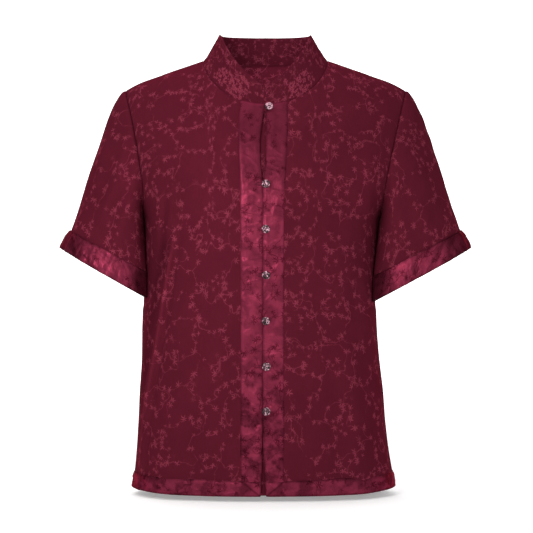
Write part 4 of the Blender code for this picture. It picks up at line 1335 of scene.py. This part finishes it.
line, line_normals = collar_seam()
leads = edge_directions(line, line_normals, False, len(line) // 2, (0, -1, 1))
shares = np.linspace(0.0, 1.0, 27)[:, None, None]
inward = unit(line * np.array([1.0, 1.0, 0.0]))
points = (line + leads * COLLAR_GAP)[None] * (1 - shares) + collar_top(line)[None] * shares
points = points - inward * 0.0012 * np.sin(math.pi * shares)
normals = grid_normals(points)
along = run_lengths(points, 1)
rise = run_lengths(points, 0)
wave = 0.0006 * ripple(along, rise * 0.6, 0.060, 81) + 0.0002 * ripple(along, rise, 0.016, 82)
wave = wave * smooth(rise / 0.008) * smooth(seam_distance(points, ["first", "last"]) / 0.01)
points = points + normals * wave[..., None]
normals = grid_normals(points)
normals[0] = line_normals
thickness = CLOTH + (COLLAR_CLOTH - CLOTH) * np.clip(shares[..., 0] / 0.25, 0, 1)
flat = flat_of(points, False, -1, (0.0, 0.0))
flat[..., 0] = flat[len(flat) // 2, :, 0]
collar = (points, normals)
painted = {"bloom": 0.32 + 0.5 * blooms_at(points)}
finishes = [collar_satin, collar_satin]
cloth_wall("collar", *collar, flat, finishes, thickness, rounded=("bottom",), painted=painted)

# %% The strip behind the opening
heights = np.linspace(-FRONT_NECK_DROP - 0.011, HEM_HEIGHT + 0.0008, 170)[:, None]
points = body_point(FRONT, -0.0035 + 0.013 * np.linspace(-1, 1, 11)[None], heights)
normals = grid_normals(points)
flat = flat_of(points, False, 1, (0.2, 0.0))
cloth_wall("underlap", points, normals, flat, [matt_back, matt_back], BAND_CLOTH, -(CLOTH + SEAM_GAP + 0.0003))

# %% [markdown]
# ## Topstitching
# Fine stitches hold the bands, cuffs, hem and collar. Each stitch is a tiny spindle of thread.
# A Geometry Nodes tree walks along each seam line and sets one spindle at each step,
# which is what the tool does best: many copies of a thing along a path.


# %% Lines that the stitches follow
def line_inside(points, normals, edge, inset=0.0020, lift=0.0001):
    """A line at a fixed distance inside one edge of a grid."""
    grid, out = points, normals
    if edge in ("first", "last"):
        grid, out = grid.transpose(1, 0, 2), out.transpose(1, 0, 2)
    if edge in ("bottom", "last"):
        grid, out = grid[::-1], out[::-1]
    lengths = run_lengths(grid, 0)
    found = []
    for c in range(grid.shape[1]):
        at = [np.interp(inset, lengths[:, c], (grid + out * lift)[:, c, k]) for k in range(3)]
        found.append(at)
    return np.array(found)


def closed_line(line):
    return np.concatenate([line, line[:1]])


seam_lines = []
for side in (RIGHT, LEFT):
    seam_lines += [line_inside(*bands[side], edge, 0.0022) for edge in ("first", "last")]
    seam_lines += [line_inside(*hems[side], edge) for edge in ("top", "bottom")]
    seam_lines += [closed_line(line_inside(*cuffs[side], edge)) for edge in ("top", "bottom")]
seam_lines += [line_inside(*hem_back, edge) for edge in ("top", "bottom")]
seam_lines += [line_inside(*collar, "bottom", 0.0045)]
print("Lines of stitching:", len(seam_lines))


# %% A tree that sews
def thread_finish():
    finish = Finish("sewing_thread")
    place = finish.node("ShaderNodeTexCoord", output="Object")
    twist = finish.node("ShaderNodeTexNoise", None, {"Vector": place, "Scale": 2400.0, "Detail": 1.0})
    colour = finish.mix((0.070, 0.007, 0.015), (0.115, 0.012, 0.026), twist)
    inputs = {"Base Color": colour, "Roughness": 0.55 + twist * 0.2, "Specular IOR Level": 0.15}
    return finish.end({**inputs, "Specular Tint": EDGE_TINT})


def sewing_tree():
    tree = bpy.data.node_groups.new("sewing", "GeometryNodeTree")
    tree.interface.new_socket("Seams", in_out="INPUT", socket_type="NodeSocketGeometry")
    for label, kind, value in (
        ("Stitch step", "NodeSocketFloat", 0.0031),
        ("Stitch length", "NodeSocketFloat", 0.0024),
        ("Thread thickness", "NodeSocketFloat", 0.00042),
        ("Seed", "NodeSocketInt", 4),
        ("Thread", "NodeSocketMaterial", None),
    ):
        socket = tree.interface.new_socket(label, in_out="INPUT", socket_type=kind)
        if value is not None:
            socket.default_value = value
    tree.interface.new_socket("Stitches", in_out="OUTPUT", socket_type="NodeSocketGeometry")
    nodes = Nodes(tree)
    start, end = nodes.node("NodeGroupInput"), tree.nodes.new("NodeGroupOutput")
    line = nodes.node("GeometryNodeMeshToCurve", None, {"Mesh": start})
    inputs = {"Curve": line, "Length": start.also("Stitch step")}
    steps = nodes.node("GeometryNodeCurveToPoints", {"mode": "LENGTH"}, inputs)
    spindle = nodes.node("GeometryNodeMeshIcoSphere", None, {"Radius": 0.5, "Subdivisions": 1})
    inputs = {"Min": 0.86, "Max": 1.12, "Seed": start.also("Seed")}
    chance = nodes.node("FunctionNodeRandomValue", {"data_type": "FLOAT"}, inputs, "Value")
    thick, long = start.also("Thread thickness"), start.also("Stitch length") * chance
    size = nodes.node("ShaderNodeCombineXYZ", None, {"X": thick, "Y": thick, "Z": long})
    inputs = {"Points": steps, "Instance": spindle, "Rotation": steps.also("Rotation"), "Scale": size}
    stitches = nodes.node("GeometryNodeInstanceOnPoints", None, inputs)
    real = nodes.node("GeometryNodeRealizeInstances", None, {"Geometry": stitches})
    dyed = nodes.node("GeometryNodeSetMaterial", None, {"Geometry": real, "Material": start.also("Thread")})
    tree.links.new(dyed.socket, end.inputs["Stitches"])
    return tree


tree, thread = sewing_tree(), thread_finish()
print("Nodes that sew:", len(tree.nodes))

# %% Sew along the lines
line_data = bpy.data.meshes.new("seam_lines")
places, edges = [], []
for line in seam_lines:
    edges += [(len(places) + i, len(places) + i + 1) for i in range(len(line) - 1)]
    places += line.tolist()
line_data.from_pydata(places, edges, [])
guide = bpy.data.objects.new("seam_guide", line_data)
bpy.context.scene.collection.objects.link(guide)
sewing = guide.modifiers.new("sewing", "NODES")
sewing.node_group = tree
for item in tree.interface.items_tree:
    if item.item_type == "SOCKET" and item.in_out == "INPUT" and item.name == "Thread":
        sewing[item.identifier] = thread
bpy.context.view_layer.update()
sewn = bpy.data.meshes.new_from_object(guide.evaluated_get(bpy.context.evaluated_depsgraph_get()))
guide.modifiers.clear()
bpy.data.objects.remove(guide)
sewn.name = "topstitching"
sewn.shade_smooth()
topstitching = bpy.data.objects.new("topstitching", sewn)
bpy.context.scene.collection.objects.link(topstitching)
print("Faces of thread:", len(sewn.polygons))

# %% [markdown]
# ## Buttons and cord loops
# The buttons are small turned discs with a raised rim round a dished middle, glossy and dark, with pale pink swirls
# painted on as highlights.
# Each is a profile turned round its own middle. A cord loop from the other band goes round the shank under it.
# The cord is two threads twisted together, so its cross-section is a figure of eight that turns along it.


# %% The glossy finish of the buttons
def button_finish():
    finish = Finish("button_shell")
    place = finish.node("ShaderNodeTexCoord", output="Object")
    inputs = {"Vector": place, "Scale": 190.0, "Detail": 2.0, "Distortion": 1.8}
    swirl_and_painted_glints = finish.node("ShaderNodeTexNoise", None, inputs)
    # Pale pink patches painted on as highlights over the dark glossy button.
    pale_patches = finish.step(swirl_and_painted_glints, 0.50, 0.58)
    colour = finish.mix((0.010, 0.0012, 0.003), (0.62, 0.32, 0.40), pale_patches)
    bump = finish.bump(swirl_and_painted_glints, 0.15, 0.0002)
    return finish.end(
        {
            "Base Color": colour,
            "Roughness": 0.08 + swirl_and_painted_glints * 0.10,
            "Normal": bump,
            "Specular IOR Level": 0.35,
            "Specular Tint": (1.0, 0.62, 0.70, 1.0),
            "Coat Weight": 0.55,
            "Coat Roughness": 0.03,
        }
    )


def cord_finish():
    finish = Finish("loop_cord")
    flat = finish.node("ShaderNodeUVMap", {"uv_map": "cloth"})
    fibre = finish.noise(flat * (1.0, 0.2, 1.0), 0.00025, 2.0)
    colour = finish.mix((0.050, 0.005, 0.012), (0.10, 0.012, 0.026), fibre)
    bump = finish.bump(fibre, 0.6, 0.00008)
    inputs = {"Base Color": colour, "Roughness": 0.45 + fibre * 0.15, "Normal": bump}
    return finish.end({**inputs, "Specular IOR Level": 0.2, "Specular Tint": EDGE_TINT})


shell, cord = button_finish(), cord_finish()
print("Nodes in the finishes of a button and a cord:", len(shell.node_tree.nodes), len(cord.node_tree.nodes))


# %% A turned button
BUTTON_SIDES = 56
BUTTON_PROFILE = [
    (0.0, 0.0003),
    (0.0024, 0.0003),
    (0.0026, 0.0006),
    (0.0026, 0.0016),
    (0.0032, 0.0018),
    (0.0048, 0.0018),
    (0.0055, 0.0021),
    (0.0059, 0.0026),
    (0.0060, 0.0031),
    (0.0059, 0.0036),
    (0.0056, 0.0040),
    (0.0052, 0.0042),
    (0.0048, 0.00418),
    (0.0043, 0.0039),
    (0.0037, 0.00345),
    (0.0031, 0.00308),
    (0.0024, 0.00276),
    (0.0016, 0.00252),
    (0.0008, 0.00238),
    (0.0, 0.00235),
]


def turned(profile, sides):
    """Points and faces of a profile turned round Z, closed at both ends."""
    places, faces, rings = [], [], []
    for radius, height in profile:
        count = 1 if radius == 0 else sides
        rings.append(len(places) + np.arange(count))
        for i in range(count):
            angle = math.tau * i / sides
            places.append((radius * math.cos(angle), radius * math.sin(angle), height))
    for low, high in zip(rings, rings[1:]):
        for i in range(sides):
            after = (i + 1) % sides
            corners = [low[i % len(low)], low[after % len(low)], high[after % len(high)], high[i % len(high)]]
            faces.append([int(c) for c in dict.fromkeys(corners)])
    return np.array(places), faces


def on_band(x, height):
    """A place on a band's outer face, with the directions across, up and out there."""
    step = 0.002
    across = body_point(FRONT, x + step, height) - body_point(FRONT, x - step, height)
    up = body_point(FRONT, x, height + step) - body_point(FRONT, x, height - step)
    out = unit(np.cross(across, up))
    out = out if out[1] < 0 else -out
    quaternion = Vector(out).to_track_quat("Z", "Y")
    turn = np.array(quaternion.to_matrix())
    return body_point(FRONT, x, height) + out * (SEAM_GAP + BAND_CLOTH), turn


def placed(points, place, turn):
    """Points of a button's own frame, moved to its place on the band."""
    return points @ turn.T + place


button_points, button_faces = turned(BUTTON_PROFILE, BUTTON_SIDES)
print("Points and faces of a button:", len(button_points), len(button_faces))



# %% A cord round each shank
CORD_RADIUS = 0.00062
CORD_TWIST = 0.0022


def cord_path():
    """The loop in the button's own frame: in from the right band, round the shank, and back."""
    ring, lift = 0.0035, 0.0011
    corners = [(-0.0150, 0.0009), (-0.0110, 0.0016), (-0.0065, 0.0021), (-0.0030, 0.0027)]
    arc = [(ring * math.cos(a), ring * math.sin(a)) for a in np.radians(np.linspace(95, -95, 9))]
    path = corners + arc + [(x, -y) for x, y in corners[::-1]]
    path = np.array(path)
    lengths = run_lengths(path[None], 1)[0]
    x_at, y_at = curve_through(lengths, path[:, 0]), curve_through(lengths, path[:, 1])
    at = np.linspace(0, lengths[-1], 90)
    down = 0.0006 * smooth((-0.011 - x_at(at)) / 0.004)
    return np.stack([x_at(at), y_at(at), lift - down], axis=-1), at


def cord_mesh(name, place, turn):
    """The twisted cord as a closed tube round its path."""
    path, at = cord_path()
    along = unit(np.gradient(path, axis=0))
    side = unit(np.cross(along, np.array([0.0, 0.0, 1.0])))
    up = np.cross(side, along)
    sides = 14
    angles = math.tau * np.arange(sides) / sides
    twist = at[:, None] / CORD_TWIST * math.tau / 2
    radius = CORD_RADIUS * (0.66 + 0.34 * np.abs(np.cos(angles[None] - twist)))
    ring = np.cos(angles)[None, :, None] * side[:, None] + np.sin(angles)[None, :, None] * up[:, None]
    points = path[:, None] + ring * radius[..., None]
    flat = np.stack(np.broadcast_arrays(np.arange(sides + 1)[None] * 0.0003, at[:, None]), axis=-1)
    index = closed_columns(np.arange(points[..., 0].size).reshape(points.shape[:2]))
    caps = [index[0, :-1][::-1].tolist(), index[-1, :-1].tolist()]
    data = bpy.data.meshes.new(name)
    data.from_pydata(placed(points.reshape(-1, 3), place, turn), [], quads_of(index).tolist() + caps)
    flats = np.concatenate([flat_quads(flat).reshape(-1, 2), np.zeros((2 * sides, 2))])
    data.uv_layers.new(name="cloth").uv.foreach_set("vector", flats.astype(np.float32).ravel())
    return as_piece(data, [cord])


for number, (x, height) in enumerate(FASTENINGS, start=1):
    place, turn = on_band(x, height)
    data = bpy.data.meshes.new(f"button_{number}_shell")
    data.from_pydata(placed(button_points, place, turn), [], button_faces)
    made[f"button_{number}"] = as_piece(data, [shell])
    made[f"loop_{number}"] = cord_mesh(f"loop_{number}_cord", place, turn)

# %% [markdown]
# ## The floor
# The picture's ground is plain white with a soft shadow under the hem. A wide pale floor that curves up
# into a wall behind gives the same, and it isn't part of the shirt.


# %% A floor that curves up behind
FLOOR_HEIGHT = -0.648


def studio_floor():
    """The floor and the wall behind, glowing a little more the further back they are."""
    profile = [(-4.5, 0.0), (0.0, 0.0), (4.0, 0.0)]
    profile += [(4.0 + 1.5 * math.sin(a), 1.5 - 1.5 * math.cos(a)) for a in np.radians(np.linspace(8, 90, 12))]
    profile += [(5.5, 7.0)]
    places = [(x, y, FLOOR_HEIGHT + z) for y, z in profile for x in (-8.0, 8.0)]
    faces = [(2 * i, 2 * i + 1, 2 * i + 3, 2 * i + 2) for i in range(len(profile) - 1)]
    data = bpy.data.meshes.new("studio_floor")
    data.from_pydata(places, [], faces)
    data.shade_smooth()
    finish = Finish("pale_floor")
    place = finish.node("ShaderNodeTexCoord", output="Object")
    pale_patches = finish.node("ShaderNodeTexNoise", None, {"Vector": place, "Scale": 3.0, "Detail": 2.0})
    colour = finish.mix((0.93, 0.93, 0.93), (0.96, 0.96, 0.96), pale_patches)
    far = finish.step(finish.node("ShaderNodeSeparateXYZ", None, {"Vector": place}, "Y"), 0.8, 4.0)
    glow = finish.mix((0.30, 0.30, 0.30), (1.0, 1.0, 1.0), far)
    material = finish.end({"Base Color": colour, "Roughness": 0.9, "Emission Color": glow, "Emission Strength": 1.0})
    data.materials.append(material)
    floor = bpy.data.objects.new("studio_floor", data)
    bpy.context.scene.collection.objects.link(floor)


studio_floor()
print("The floor lies this far under the hem, in metres:", round(HEM_HEIGHT - FLOOR_HEIGHT, 4))

# %% [markdown]
# ## Tie every piece to the model
# Each cloth piece stands for the CAD solid of the same name, which is hidden,
# and is tied to the model's root.

# %% What each piece stands for
for node, piece in made.items():
    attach(piece, "root")
    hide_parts(node)
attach(topstitching, "root")
print("Pieces tied to the model:", len(made) + 1)
